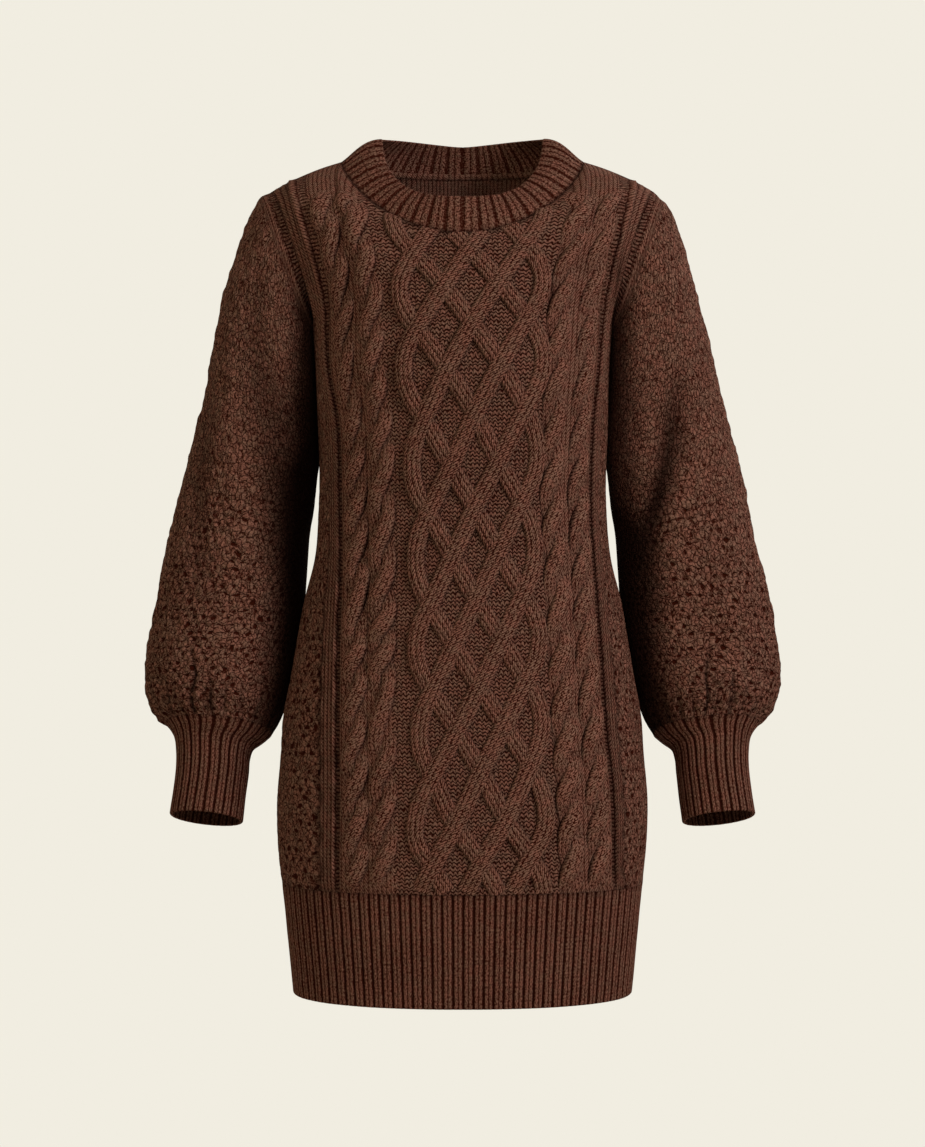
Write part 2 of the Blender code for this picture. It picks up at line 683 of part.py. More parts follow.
def make_hem_band():
    """The deep ribbed band round the hem."""
    top, bottom = HEM_SEAM_Z - SEAM_GAP / 2, HEM_EDGE_Z
    fine = even_ring(top, HEM_RIBS * RIB_POINTS)
    coarse = even_ring(top, HEM_RIBS // 2)
    share = rib_share(HEM_RIBS)
    outer, inner = [], []
    for z in (top, (top + bottom) / 2, bottom):
        crest, furrow = body_ring(z, fine), body_ring(z, fine, RIB_RELIEF)
        outer.append(furrow + (crest - furrow) * share)
        inner.append(body_ring(z, coarse, RIB_RELIEF + WALL * RIBBED_CORE))
    return ribbed_tube("hem_band", outer, inner)


def panel_angles():
    """Angles round the neck seam where the front's and the back's columns end."""

    def ends(columns, facing):
        return np.sort(neck_angle(columns[np.abs(columns) <= NECK_SIDE_COLUMN + 1e-9], facing))

    front, back = ends(front_columns(), -1), ends(back_columns(), 1)
    return np.concatenate([front, 2 * np.pi + back[1:-1]])


def make_neckband():
    """The ribbed neckband: its lower ring matches the panels point for point."""
    seam_angle = panel_angles()
    up, out = neck_frame(seam_angle)
    seam = neck_seam(seam_angle) + up * SEAM_GAP / 2
    fine = 2 * np.pi * around(NECK_RIBS * RIB_POINTS)
    coarse = 2 * np.pi * around(NECK_RIBS)
    ribs = rib_share(NECK_RIBS) * RIB_RELIEF

    def band(angle, share, lift):
        low, high = neck_seam(angle), neck_edge(angle)
        _, outward = neck_frame(angle)
        swell = NECK_SWELL * np.sin(np.pi * share)
        return low + (high - low) * share + outward * (swell + lift)

    wall = Wall()
    seam_out = wall.add(seam)
    seam_in = wall.add(seam - out * WALL)
    outside = wall.add(np.array([band(fine, share, ribs) for share in NECK_LEVELS]))
    edge = wall.add(band(coarse, 1.0, -WALL * NECK_EDGE_SINK))
    inside = wall.add(np.array([band(coarse, share, -WALL) for share in NECK_LEVELS[::-1]]))
    fine_at, coarse_at, seam_at = around(len(fine)), around(len(coarse)), seam_angle / (2 * np.pi)
    wall.zip(seam_out, seam_at, outside[0], fine_at, closed=True)
    wall.sheet(outside, closed=True)
    wall.zip(outside[-1], fine_at, edge, coarse_at, closed=True)
    wall.zip(edge, coarse_at, inside[0], coarse_at, closed=True)
    wall.sheet(inside, closed=True)
    wall.zip(inside[-1], coarse_at, seam_in, seam_at, closed=True)
    wall.zip(seam_in, seam_at, seam_out, seam_at, closed=True)
    return wall.object("neckband", WOOL_DEEP)


def main():
    for old in list(bpy.data.objects):
        bpy.data.objects.remove(old, do_unlink=True)
    make_front()
    make_back()
    make_sleeve("sleeve_left", 1)
    make_sleeve("sleeve_right", -1)
    make_neckband()
    make_hem_band()
    make_cuff("cuff_left", 1)
    make_cuff("cuff_right", -1)


main()
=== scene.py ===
"""A cable-knit sweater dress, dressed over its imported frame.

Eight pieces of knitting, each a thin closed shell on its solid's form, with the cables laid over
the front as strands of their own. Forms are worked in millimetres, with +Z up, +X to the wearer's
left and the front facing -Y, and become metres as each mesh is made.
"""

import logging
import math
from dataclasses import dataclass, field
from enum import Enum
from functools import cached_property
from typing import Optional, Sequence, Union

import bmesh
import bpy
import numpy as np
from mathutils import Matrix, Vector


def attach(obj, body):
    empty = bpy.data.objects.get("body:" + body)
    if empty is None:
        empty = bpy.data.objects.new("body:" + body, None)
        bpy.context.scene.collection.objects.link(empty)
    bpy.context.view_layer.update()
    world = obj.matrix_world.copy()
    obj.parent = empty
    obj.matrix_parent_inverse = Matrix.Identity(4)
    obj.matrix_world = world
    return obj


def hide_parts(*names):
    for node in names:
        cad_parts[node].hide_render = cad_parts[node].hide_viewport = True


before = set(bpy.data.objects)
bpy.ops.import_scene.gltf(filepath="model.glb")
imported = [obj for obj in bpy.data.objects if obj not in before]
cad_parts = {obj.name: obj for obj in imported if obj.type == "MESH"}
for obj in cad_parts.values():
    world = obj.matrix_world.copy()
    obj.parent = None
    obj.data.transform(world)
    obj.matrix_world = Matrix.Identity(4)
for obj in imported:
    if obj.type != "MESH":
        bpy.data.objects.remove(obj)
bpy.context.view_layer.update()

MM = 0.001
SEAM_GAP = 0.3  # between pieces that are sewn together, mm
WALL = 2.6  # thickness of the knitting, mm
PLAIN_ROW = 3.7  # height of one row of plain knitting, mm
PURL_ROW = 3.9  # the same of purl
MOSS_ROW = 8.6  # from one row of the moss knit's eyelets to the next, mm
MIDDLE = 73  # grid columns over the front's purl ground
log = logging.getLogger("dress")


# ---------------------------------------------------------------- small tools


def linear(colour: str) -> tuple[float, float, float, float]:
    """Turn an sRGB hex colour into the linear values that a shader takes.

    Args:
        colour: six hex digits, with or without a leading hash.

    Returns:
        Red, green, blue and an alpha of 1.
    """
    digits = colour.lstrip("#")
    parts = [int(digits[k : k + 2], 16) / 255 for k in (0, 2, 4)]
    flat = [c / 12.92 if c <= 0.04045 else ((c + 0.055) / 1.055) ** 2.4 for c in parts]
    return flat[0], flat[1], flat[2], 1.0


def hermite(
    s: np.ndarray, start: np.ndarray, leave: np.ndarray, end: np.ndarray, arrive: np.ndarray
) -> np.ndarray:
    """Go smoothly from one value to the next.

    Args:
        s: how far along, from 0 to 1.
        start: the value at 0.
        leave: the slope there, over the whole step.
        end: the value at 1.
        arrive: the slope there.

    Returns:
        The value at each s.
    """
    return (
        (1 + 2 * s) * (1 - s) ** 2 * start
        + s * (1 - s) ** 2 * leave
        + s * s * (3 - 2 * s) * end
        + s * s * (s - 1) * arrive
    )


def smooth(xs: Sequence[float], ys: Sequence[float], x: np.ndarray) -> np.ndarray:
    """Read a smooth curve through a table's points, held flat past its ends.

    Args:
        xs: where the points are, rising.
        ys: their values.
        x: where to read.

    Returns:
        The curve's values.
    """
    xs, ys, x = np.asarray(xs, float), np.asarray(ys, float), np.asarray(x, float)
    slopes = np.gradient(ys, xs)
    place = np.clip(x, xs[0], xs[-1])
    k = np.clip(np.searchsorted(xs, place, side="right") - 1, 0, len(xs) - 2)
    step = xs[k + 1] - xs[k]
    return hermite((place - xs[k]) / step, ys[k], step * slopes[k], ys[k + 1], step * slopes[k + 1])


def unit(v: np.ndarray) -> np.ndarray:
    """Scale vectors along the last axis to a length of one."""
    v = np.asarray(v, float)
    return v / np.maximum(np.linalg.norm(v, axis=-1, keepdims=True), 1e-9)


def ease(low: float, high: float, x: np.ndarray) -> np.ndarray:
    """Take a soft step from 0 at low to 1 at high; low may be the larger."""
    s = np.clip((np.asarray(x, float) - low) / (high - low), 0, 1)
    return s * s * (3 - 2 * s)


def grid_normals(points: np.ndarray, closed: bool = False) -> np.ndarray:
    """Normals of a grid of points: along its rows, crossed with up its columns.

    Args:
        points: rows of points.
        closed: whether each row runs round and meets its own start.

    Returns:
        One unit normal for each point.
    """
    if closed:
        across = np.roll(points, -1, axis=1) - np.roll(points, 1, axis=1)
    else:
        across = np.gradient(points, axis=1)
    return unit(np.cross(across, np.gradient(points, axis=0)))


class SoftNoise:
    """Seeded smooth noise through space, for the unevenness of hand-made cloth."""

    SIDE = 24

    def __init__(self, seed: int) -> None:
        """Draw the noise's own table of values."""
        self.table = np.random.default_rng(seed).uniform(-1, 1, (self.SIDE,) * 3)

    def __call__(self, points: np.ndarray, size: float) -> np.ndarray:
        """Read the noise.

        Args:
            points: places in millimetres.
            size: millimetres from one bump to the next.

        Returns:
            Values from -1 to 1.
        """
        place = points / size + 500.0
        whole = np.floor(place).astype(int)
        part = place - whole
        part = part * part * (3 - 2 * part)
        total = np.zeros(points.shape[:-1])
        for corner in np.ndindex(2, 2, 2):
            index = tuple(((whole[..., k] + corner[k]) % self.SIDE) for k in range(3))
            share = np.ones(points.shape[:-1])
            for k in range(3):
                share = share * (part[..., k] if corner[k] else 1 - part[..., k])
            total += share * self.table[index]
        return total


# ---------------------------------------------------------------- finishes


class Wire:
    """A value in a material's node tree. Arithmetic on it adds Math nodes."""

    def __init__(self, sketch: "Sketch", socket: bpy.types.NodeSocket) -> None:
        """Keep a node's output.

        Args:
            sketch: the material that it belongs to.
            socket: the output.
        """
        self.sketch = sketch
        self.socket = socket

    def math(self, operation: str, *others: "Value") -> "Wire":
        """Put this value and the others through one step of arithmetic."""
        return self.sketch.add("ShaderNodeMath", self, *others, operation=operation)

    def __add__(self, other: "Value") -> "Wire":
        """Add another value."""
        return self.math("ADD", other)

    def __sub__(self, other: "Value") -> "Wire":
        """Take another value from this one."""
        return self.math("SUBTRACT", other)

    def __rsub__(self, other: "Value") -> "Wire":
        """Take this value from another one."""
        return self.sketch.add("ShaderNodeMath", other, self, operation="SUBTRACT")

    def __mul__(self, other: "Value") -> "Wire":
        """Multiply by another value."""
        return self.math("MULTIPLY", other)

    __radd__, __rmul__ = __add__, __mul__

    def step(self, low: float, high: float) -> "Wire":
        """Take a soft step of this value.

        Args:
            low: where the step starts, at 0.
            high: where it ends, at 1; it may be the smaller.

        Returns:
            The step.
        """
        return self.sketch.add(
            "ShaderNodeMapRange",
            self,
            links={"From Min": low, "From Max": high},
            interpolation_type="SMOOTHSTEP",
        )


Value = Union[Wire, float, Sequence[float]]
Line = tuple[np.ndarray, np.ndarray, np.ndarray]


class Sketch:
    """A new material, and the one function that adds nodes to it."""

    def __init__(self, name: str) -> None:
        """Start the material."""
        self.material = bpy.data.materials.new(name)
        self.material.use_nodes = True
        self.tree = self.material.node_tree
        self.shader = self.tree.nodes["Principled BSDF"]

    def add(
        self,
        kind: str,
        *inputs: Value,
        output: Union[int, str] = 0,
        links: Optional[dict[Union[int, str], Value]] = None,
        **settings: object,
    ) -> Wire:
        """Add one node.

        Args:
            kind: the node's type name.
            *inputs: what goes into its sockets, in order; None leaves one alone.
            output: the socket that is handed back.
            links: more inputs, by socket name or number.
            **settings: the node's own options.

        Returns:
            The chosen output.
        """
        node = self.tree.nodes.new(kind)
        for name, value in settings.items():
            setattr(node, name, value)
        for place, value in [*enumerate(inputs), *(links or {}).items()]:
            if isinstance(value, Wire):
                self.tree.links.new(value.socket, node.inputs[place])
            elif value is not None:
                node.inputs[place].default_value = value
        return Wire(self, node.outputs[output])


class Stitch(Enum):
    """The ways in which the dress is knitted."""

    PLAIN = "plain"  # columns of small Vs
    PURL = "purl"  # rows of small arcs
    BARS = "bars"  # one column of purl bumps
    MOSS = "moss"  # lumps round staggered eyelets
    RIB = "rib"  # two plain columns, then a furrow


@dataclass(frozen=True)
class Yarn:
    """Soft brown wool, with lighter and darker fibres spun together, and the colours of its painted
    shade.
    """

    light: str = "#855B4D"
    heather: str = "#7F5F50"  # the greyer fibres in the mix
    # Colours of painted shade: in the hollows between stitches, then in folds and on hidden sides.
    shadow: str = "#2E0D04"
    deep: str = "#0E0301"
    roughness: float = 0.95
    sheen: float = 0.03
    sheen_tint: str = "#A8785F"


@dataclass(frozen=True)
class KnitFinish:
    """One knitted finish: a stitch in a yarn.

    Wool scatters light from a haze of fibres, so it is matte with a faint sheen at the edges, and
    the hollows between stitches are painted with shade, nearly black.
    """

    name: str
    stitch: Stitch
    relief: float = 0.9  # height of a stitch, mm
    contrast: float = 0.7  # how much painted shade in the hollows follows the stitches
    fleck: float = 0.7  # how much it follows the fibres' haze
    depth: float = 0.42  # the tone at half height, from shadow at 0 to light at 1
    wander: float = 0.5  # how far a stitch strays from its place, in stitches
    yarn: Yarn = field(default_factory=Yarn)

    def stitches(self, sketch: Sketch, u: Wire, v: Wire, height: Wire) -> Wire:
        """Draw the stitch's height.

        Args:
            sketch: the material.
            u: place across the cloth, in columns, cells or ribs.
            v: place up the cloth, in rows.
            height: height on the dress, in metres.

        Returns:
            Height from 0 in a hollow to 1 on a crest.
        """
        if self.stitch is Stitch.PURL:
            wave = (u * (2 * math.pi)).math("COSINE") * 0.24
            along = (v + wave).math("FRACT") - 0.5
            between = (u.math("FRACT") - 0.5).math("ABSOLUTE")
            return along.math("ABSOLUTE").step(0.5, 0.14) * (1.0 - between.step(0.3, 0.5) * 0.4)
        if self.stitch is Stitch.MOSS:
            row = v.math("FLOOR")
            shifted = u + row.math("MODULO", 2.0) * 0.5
            across, along = shifted.math("FRACT") - 0.5, v.math("FRACT") - 0.5
            cell = sketch.add("ShaderNodeCombineXYZ", shifted.math("FLOOR"), row)
            chance = sketch.add("ShaderNodeTexWhiteNoise", cell, noise_dimensions="3D")
            away = (across * across + along * along * 0.8).math("SQRT")
            # The cloth's own weight opens the eyelets of the lower sleeves and skirt.
            opened = (height * -1.0).step(0.26, 0.47) * 0.7 + 0.3
            eyelet = (away + chance * 0.26).step(0.37, 0.13) * opened
            # Single loops, drawn about 4 mm wide with crooked channels between, painted dark with
            # shade.
            loops = sketch.add("ShaderNodeCombineXYZ", u * 2.5, v * 1.5)
            edge = sketch.add(
                "ShaderNodeTexVoronoi", loops, links={"Scale": 1.0}, feature="DISTANCE_TO_EDGE"
            )
            return (edge.step(0.0, 0.17) * 0.6 + 0.4) * (1.0 - eyelet)
        if self.stitch is Stitch.BARS:
            across = (u.math("FRACT") - 0.5).math("ABSOLUTE").step(0.5, 0.38)
            return (v * math.pi).math("SINE").math("ABSOLUTE").step(0.25, 0.95) * across
        ribbed = self.stitch is Stitch.RIB
        middle = u.math("FRACT") - 0.5
        lean = ((middle * 2.4 if ribbed else u).math("FRACT") - 0.5) * 2.0
        gap, row = (0.9, 0.2) if ribbed else (0.75, 0.62)
        leg = 1.0 - lean.math("ABSOLUTE").math("POWER", 2.5) * gap
        dash = ((v - lean * 0.9) * (2 * math.pi)).math("COSINE") * 0.5 + 0.5
        knit = leg * (dash.step(0.0, 0.6) * row + (1.0 - row))
        return knit * (1.0 - middle.math("ABSOLUTE").step(0.4, 0.47) * 0.85) if ribbed else knit

    def haze(self, sketch: Sketch, spot: Wire, u: Wire, v: Wire) -> Wire:
        """Draw the haze of fibres.

        They are about 0.02 mm thick, too fine to show, so they are drawn as flecks 1.5 mm long,
        and as streaks along the columns where these are plain.

        Args:
            sketch: the material.
            spot: place on the dress.
            u: place across the cloth.
            v: place up the cloth.

        Returns:
            Values to either side of 0.5.
        """
        size, place = 620.0, spot
        if self.stitch in (Stitch.PLAIN, Stitch.RIB):
            streaks = 11.0 if self.stitch is Stitch.RIB else 4.6
            size, place = 1.0, sketch.add("ShaderNodeCombineXYZ", u * streaks, v * 1.7)
        haze = sketch.add("ShaderNodeTexNoise", place, links={"Scale": size, "Detail": 2.0})
        if self.stitch is not Stitch.PLAIN:
            return haze
        fuzz = sketch.add("ShaderNodeTexNoise", spot, links={"Scale": 560.0, "Detail": 1.0})
        return (haze + fuzz) * 0.5

    def material(self) -> bpy.types.Material:
        """Build the finish's material, which reads the cloth's stitch places and its shade.

        Returns:
            The material.
        """
        yarn, sketch = self.yarn, Sketch(self.name)
        spot = sketch.add("ShaderNodeTexCoord", output="Object")
        place = sketch.add("ShaderNodeUVMap", uv_map="stitches")
        # No two stitches are quite alike, so their places wander a little.
        wander = sketch.add(
            "ShaderNodeTexNoise", spot, output="Color", links={"Scale": 150.0, "Detail": 1.0}
        )
        u, v = (
            sketch.add("ShaderNodeSeparateXYZ", place, output=axis)
            + (sketch.add("ShaderNodeSeparateXYZ", wander, output=axis) - 0.5) * stray
            for axis, stray in (("X", self.wander), ("Y", self.wander * 1.6))
        )
        height = self.stitches(sketch, u, v, sketch.add("ShaderNodeSeparateXYZ", spot, output="Z"))
        haze = self.haze(sketch, spot, u, v)
        spread = 0.12 if self.stitch is Stitch.PLAIN else 0.16
        fleck = haze.step(0.5 - spread, 0.5 + spread)
        # The dye took a little unevenly, in patches about 40 mm wide.
        dye = sketch.add("ShaderNodeTexNoise", spot, links={"Scale": 24.0, "Detail": 3.0})
        # The stitches' height paints shade into their hollows; the flecks and the dye are the
        # yarn's own.
        tone = height.step(0.05, 0.9) * self.contrast + fleck * self.fleck + dye * 0.3
        tone = tone + (self.depth - 0.15 - 0.5 * self.contrast - 0.5 * self.fleck)
        blend = sketch.add("ShaderNodeTexNoise", spot, links={"Scale": 110.0, "Detail": 3.0})
        shade = sketch.add("ShaderNodeAttribute", output="Fac", attribute_name="shade")
        # Two browns of fibre, then painted shade in the hollows between stitches, then the painted
        # shade of folds and hidden sides.
        colour = linear(yarn.heather)
        layers = ((blend.step(0.38, 0.62), yarn.light), (tone, yarn.shadow), (shade, yarn.deep))
        for share, other in layers:
            ends = {0: share, 6: linear(other), 7: colour}
            colour = sketch.add("ShaderNodeMix", links=ends, output=2, data_type="RGBA")
        bump = sketch.add(
            "ShaderNodeBump",
            links={"Strength": 1.0, "Distance": self.relief * MM, "Height": height + haze * 0.5},
        )
        shader = sketch.shader.inputs
        sketch.tree.links.new(colour.socket, shader["Base Color"])
        sketch.tree.links.new(bump.socket, shader["Normal"])
        for name, value in (
            ("Roughness", yarn.roughness),
            ("Specular IOR Level", 0.04),
            ("Sheen Weight", yarn.sheen),
            ("Sheen Roughness", 0.5),
            ("Sheen Tint", linear(yarn.sheen_tint)),
        ):
            shader[name].default_value = value
        return sketch.material


# ---------------------------------------------------------------- cloth


class Cloth:
    """Collects one closed piece of cloth: its points, faces, stitch places and shade."""

    def __init__(self) -> None:
        """Start with nothing."""
        self.points: list[np.ndarray] = []
        self.shades: list[np.ndarray] = []
        self.count = 0
        self.faces: dict[int, list[tuple[np.ndarray, np.ndarray, int]]] = {3: [], 4: []}

    def add(self, points: np.ndarray, shade: Union[float, np.ndarray] = 1.0) -> np.ndarray:
        """Add points.

        Args:
            points: an array of points, in millimetres.
            shade: how much light each keeps, from 0 to 1.

        Returns:
            The points' numbers, in the array's own shape.
        """
        points = np.asarray(points, float)
        shape = points.shape[:-1]
        first = self.count
        self.points.append(points.reshape(-1, 3))
        self.shades.append(np.broadcast_to(shade, shape).reshape(-1))
        self.count += points.size // 3
        return np.arange(first, self.count).reshape(shape)

    def cover(
        self, grid: np.ndarray, places: np.ndarray, finish: int = 0, period: float = 0.0
    ) -> None:
        """Cover a grid of numbered points with faces.

        Args:
            grid: numbers of the points, row by row.
            places: their stitch places, two numbers each.
            finish: which of the piece's finishes the faces take.
            period: stitches all the way round, for a grid that closes on itself.
        """
        if period:
            grid = np.concatenate([grid, grid[:, :1]], axis=1)
            places = np.concatenate([places, places[:, :1] + (period, 0)], axis=1)
        corners = [(slice(0, -1), slice(0, -1)), (slice(0, -1), slice(1, None))]
        corners += [(slice(1, None), slice(1, None)), (slice(1, None), slice(0, -1))]
        quads = np.stack([grid[c] for c in corners], -1).reshape(-1, 4)
        uvs = np.stack([places[c] for c in corners], -2).reshape(-1, 4, 2)
        self.faces[4].append((quads, uvs, finish))

    def zip(self, first: Line, second: Line, finish: int = 0, period: float = 0.0) -> None:
        """Join two lines of points that run side by side.

        Args:
            first: its points' numbers, where each lies along the line, and their stitch places.
            second: the same for the other line.
            finish: which of the piece's finishes the faces take.
            period: stitches all the way round, for lines that close on themselves.
        """
        lines = [first, second]
        if period:
            again = (period, 0)
            lines = [
                (np.append(n, n[0]), np.append(at, at[0] + 1), np.append(uv, uv[:1] + again, 0))
                for n, at, uv in lines
            ]
        (a, a_at, a_uv), (b, b_at, b_uv) = lines
        faces, uvs = [], []
        i = j = 0
        while i < len(a) - 1 or j < len(b) - 1:
            if j == len(b) - 1 or (i < len(a) - 1 and a_at[i + 1] <= b_at[j + 1]):
                faces.append((a[i], b[j], a[i + 1]))
                uvs.append((a_uv[i], b_uv[j], a_uv[i + 1]))
                i += 1
            else:
                faces.append((a[i], b[j], b[j + 1]))
                uvs.append((a_uv[i], b_uv[j], b_uv[j + 1]))
                j += 1
        self.faces[3].append((np.array(faces), np.array(uvs), finish))

    def piece(self, name: str, finishes: Sequence[bpy.types.Material]) -> bpy.types.Object:
        """Make the mesh.

        Args:
            name: the piece's name.
            finishes: its materials.

        Returns:
            The new object, at the origin.
        """
        blocks = [b for size in (4, 3) for b in self.faces[size]]
        sizes = np.concatenate([np.full(len(b[0]), b[0].shape[1]) for b in blocks])
        corners = np.concatenate([b[0].ravel() for b in blocks])
        mesh = bpy.data.meshes.new(name)
        mesh.vertices.add(self.count)
        mesh.loops.add(len(corners))
        mesh.polygons.add(len(sizes))
        co = (np.concatenate(self.points) * MM).astype(np.float32).ravel()
        mesh.vertices.foreach_set("co", co)
        mesh.loops.foreach_set("vertex_index", corners.astype(np.int32))
        for entry, values in (
            ("loop_start", np.cumsum(sizes) - sizes),
            ("loop_total", sizes),
            ("material_index", np.concatenate([np.full(len(b[0]), b[2]) for b in blocks])),
        ):
            mesh.polygons.foreach_set(entry, values.astype(np.int32))
        places = np.concatenate([b[1].ravel() for b in blocks]).astype(np.float32)
        mesh.uv_layers.new(name="stitches").data.foreach_set("uv", places)
        shade = mesh.attributes.new("shade", "FLOAT", "POINT")
        shade.data.foreach_set("value", np.concatenate(self.shades).astype(np.float32))
        mesh.update(calc_edges=True)
        work = bmesh.new()
        work.from_mesh(mesh)
        loose = [v for v in work.verts if not v.link_faces]
        bmesh.ops.delete(work, geom=loose, context="VERTS")
        bmesh.ops.recalc_face_normals(work, faces=work.faces)
        work.to_mesh(mesh)
        work.free()
        for finish in finishes:
            mesh.materials.append(finish)
        mesh.shade_smooth()
        mesh.set_sharp_from_angle(angle=math.radians(75))
        piece = bpy.data.objects.new(name, mesh)
        bpy.context.scene.collection.objects.link(piece)
        return piece


def around(count: int) -> np.ndarray:
    """Space points evenly round a closed ring, from 0 to 1."""
    return np.arange(count) / count


def moss_eyelets(u: np.ndarray, v: np.ndarray) -> np.ndarray:
    """Find how deep moss knit sinks.

    Args:
        u: place across the cloth, in cells.
        v: place up the cloth, in rows.

    Returns:
        From 0 on a lump to 1 in an eyelet.
    """
    row = np.floor(v)
    across = (u + 0.5 * np.mod(row, 2)) % 1 - 0.5
    along = v % 1 - 0.5
    return ease(0.46, 0.08, np.sqrt(across**2 + 0.8 * along**2))


# ---------------------------------------------------------------- forms


@dataclass
class BodyForm:
    """The filled-out form of the dress's body, as its solids have it, in millimetres.

    Its two panels have columns from -2 to 2, of which -1 to 1 lie between the ladders. Each faces
    -1, to the front, or 1, to the back.
    """

    levels: tuple = (
        *(-831, -780, -721, -680, -640, -592, -553, -516),
        *(-480, -440, -400, -340, -270, -210, -165.3),
    )
    half: tuple = (169, 174, 180, 184, 185, 181, 178, 171, 165, 158, 148, 142.5, 144.5, 147.5, 150)
    front: tuple = (110, 112, 113, 113, 112, 111, 109, 106, 103, 100, 98, 98, 104, 110, 107)
    back: tuple = (106, 108, 111, 113, 114, 112, 109, 105, 100, 93, 86, 80, 86, 94, 97)
    fullness: float = 2.2  # of the sections: 2 is an ellipse, and more is squarer
    hem_edge: float = -831.0
    hem_seam: float = -721.0
    armpit: float = -165.3
    # The purl ladders down the front, and the back's matching line.
    ladder_levels: tuple = (-721, -630, -555, -490, -420, -340, -265, -210, -140)
    ladder_right: tuple = (-120.6, -121, -121, -121, -119.6, -120, -122.5, -132, -134.5)
    ladder_left: tuple = (149, 145.5, 139.5, 135, 130.7, 126.7, 128.7, 134, 139.5)
    back_centre: float = 0.86
    # Where each column of a panel ends, on the neck seam or the shoulder seam.
    neck_columns: tuple = (0, 0.19, 0.385, 0.56, 0.73)
    neck_angles: tuple = (90, 77.5, 62, 38, 0)
    shoulder_columns: tuple = (0.73, 0.86, 1, 1.5, 2)
    shoulder_x: tuple = (121, 140, 160, 176, 191)
    shoulder_line: tuple = ((121, 140, 160, 179, 191), (-2, -8, -16, -25, -32))
    # How strongly each column runs over the chest or the shoulder blades, up, and inward.
    run_columns: tuple = (0, 0.19, 0.385, 0.56, 0.73, 0.86, 1, 1.5, 2)
    front_over: tuple = (30, 33, 52, 120, 240, 265, 270, 240, 180)
    front_up: tuple = (78, 77, 76, 82, 90, 72, 52, 34, 15)
    back_over: tuple = (36, 44, 80, 180, 330, 318, 298, 245, 180)
    back_up: tuple = (70, 68, 62, 50, 30, 29, 28, 22, 15)
    inward: tuple = (0, 0, 2, 14, 44, 34, 16, 0, 0)
    neck_side: float = 0.73  # the last column that ends on the neck seam
    # The armhole's run from the armpit: inward, forward and up there, then how it falls.
    armhole_start: tuple = (30, 180, 0)
    armhole_fall: float = 30
    armhole_spread: float = 1.5
    armhole_lean: float = 42
    leave_step: float = 8
    seam_ring: tuple = (121, 88, 75, -2, 82, 5, 0)  # half, front, back, side, drops, swell
    edge_ring: tuple = (81, 72, 60, 21.2, 68.2, -1.2, 3.9)
    seam_bend: float = 1.4
    edge_softness: float = 0.05
    edge_round: float = 1.25
    edge_fullness: float = 0.88

    def section(self, z: np.ndarray, facing: int) -> tuple[np.ndarray, np.ndarray]:
        """Read half the body's width, and its depth on the side faced, at a level."""
        depth = self.front if facing < 0 else self.back
        return smooth(self.levels, self.half, z), smooth(self.levels, depth, z)

    def ladders(self, z: np.ndarray) -> tuple[np.ndarray, np.ndarray]:
        """Find the two purl ladders at a level: the wearer's right, then the left."""
        right = smooth(self.ladder_levels, self.ladder_right, z)
        return right, smooth(self.ladder_levels, self.ladder_left, z)

    def ring(self, angle: np.ndarray, inset: float, z: np.ndarray) -> np.ndarray:
        """Find points round the body at a level.

        Args:
            angle: places round it; 0 is the wearer's left and 90 degrees the front.
            inset: how far inside the form they lie.
            z: the level.

        Returns:
            The points.
        """
        half, front = self.section(z, -1)
        _, back = self.section(z, 1)
        c, s = np.cos(angle), np.sin(angle)
        depth = np.where(s >= 0, front, back) - inset
        x = (half - inset) * np.sign(c) * np.abs(c) ** (2 / self.fullness)
        y = -depth * np.sign(s) * np.abs(s) ** (2 / self.fullness)
        return np.stack([x, y, z + 0 * x], -1)

    def neck_ring(self, ring: tuple, angle: np.ndarray, bend: float = 1.0) -> np.ndarray:
        """Find points of a neck ring.

        Args:
            ring: its half width, its depths, the level of its sides, its drops and its swell.
            angle: places round it; 0 is the wearer's left and 90 degrees the front.
            bend: how late the front falls; 1 is plain.

        Returns:
            The points.
        """
        half, front, back, side, front_drop, back_drop, swell = ring
        across, forward = np.cos(angle), np.sin(angle)
        if swell:
            across = np.sign(across) * np.abs(across) ** self.edge_fullness
        is_front = np.sin(angle) >= 0
        depth = np.where(is_front, front, back)
        soft = self.edge_softness
        rise = np.abs(forward)
        drop_front = front_drop * rise**bend
        if swell:
            rise = (np.sqrt(forward**2 + soft**2) - soft) / (math.sqrt(1 + soft**2) - soft)
            drop_front = front_drop * (1 - (1 - np.minimum(rise, 1)) ** self.edge_round)
        twice = (np.sqrt(np.sin(2 * angle) ** 2 + 0.01) - 0.1) / 0.905
        drop_back = back_drop * rise - swell * twice
        drop = np.where(is_front, drop_front, drop_back)
        return np.stack([half * across, -depth * forward, side - drop], -1)

    def neck_seam(self, angle: np.ndarray) -> np.ndarray:
        """Find the line where the neckband is sewn to the body."""
        return self.neck_ring(self.seam_ring, angle, self.seam_bend)

    def neck_edge(self, angle: np.ndarray) -> np.ndarray:
        """Find the neckband's free edge."""
        return self.neck_ring(self.edge_ring, angle)

    def neck_frame(self, angle: np.ndarray) -> tuple[np.ndarray, np.ndarray]:
        """Find the neckband's directions at its seam.

        Args:
            angle: places round the neck.

        Returns:
            Unit vectors up the band, and outward from it.
        """
        up = unit(self.neck_edge(angle) - self.neck_seam(angle))
        along = unit(self.neck_seam(angle + 0.01) - self.neck_seam(angle - 0.01))
        beside = np.abs(np.sin(angle)) < 1e-4
        along[beside] = np.stack([0 * angle, -np.cos(angle), 0 * angle], -1)[beside]
        return up, unit(np.cross(up, along))

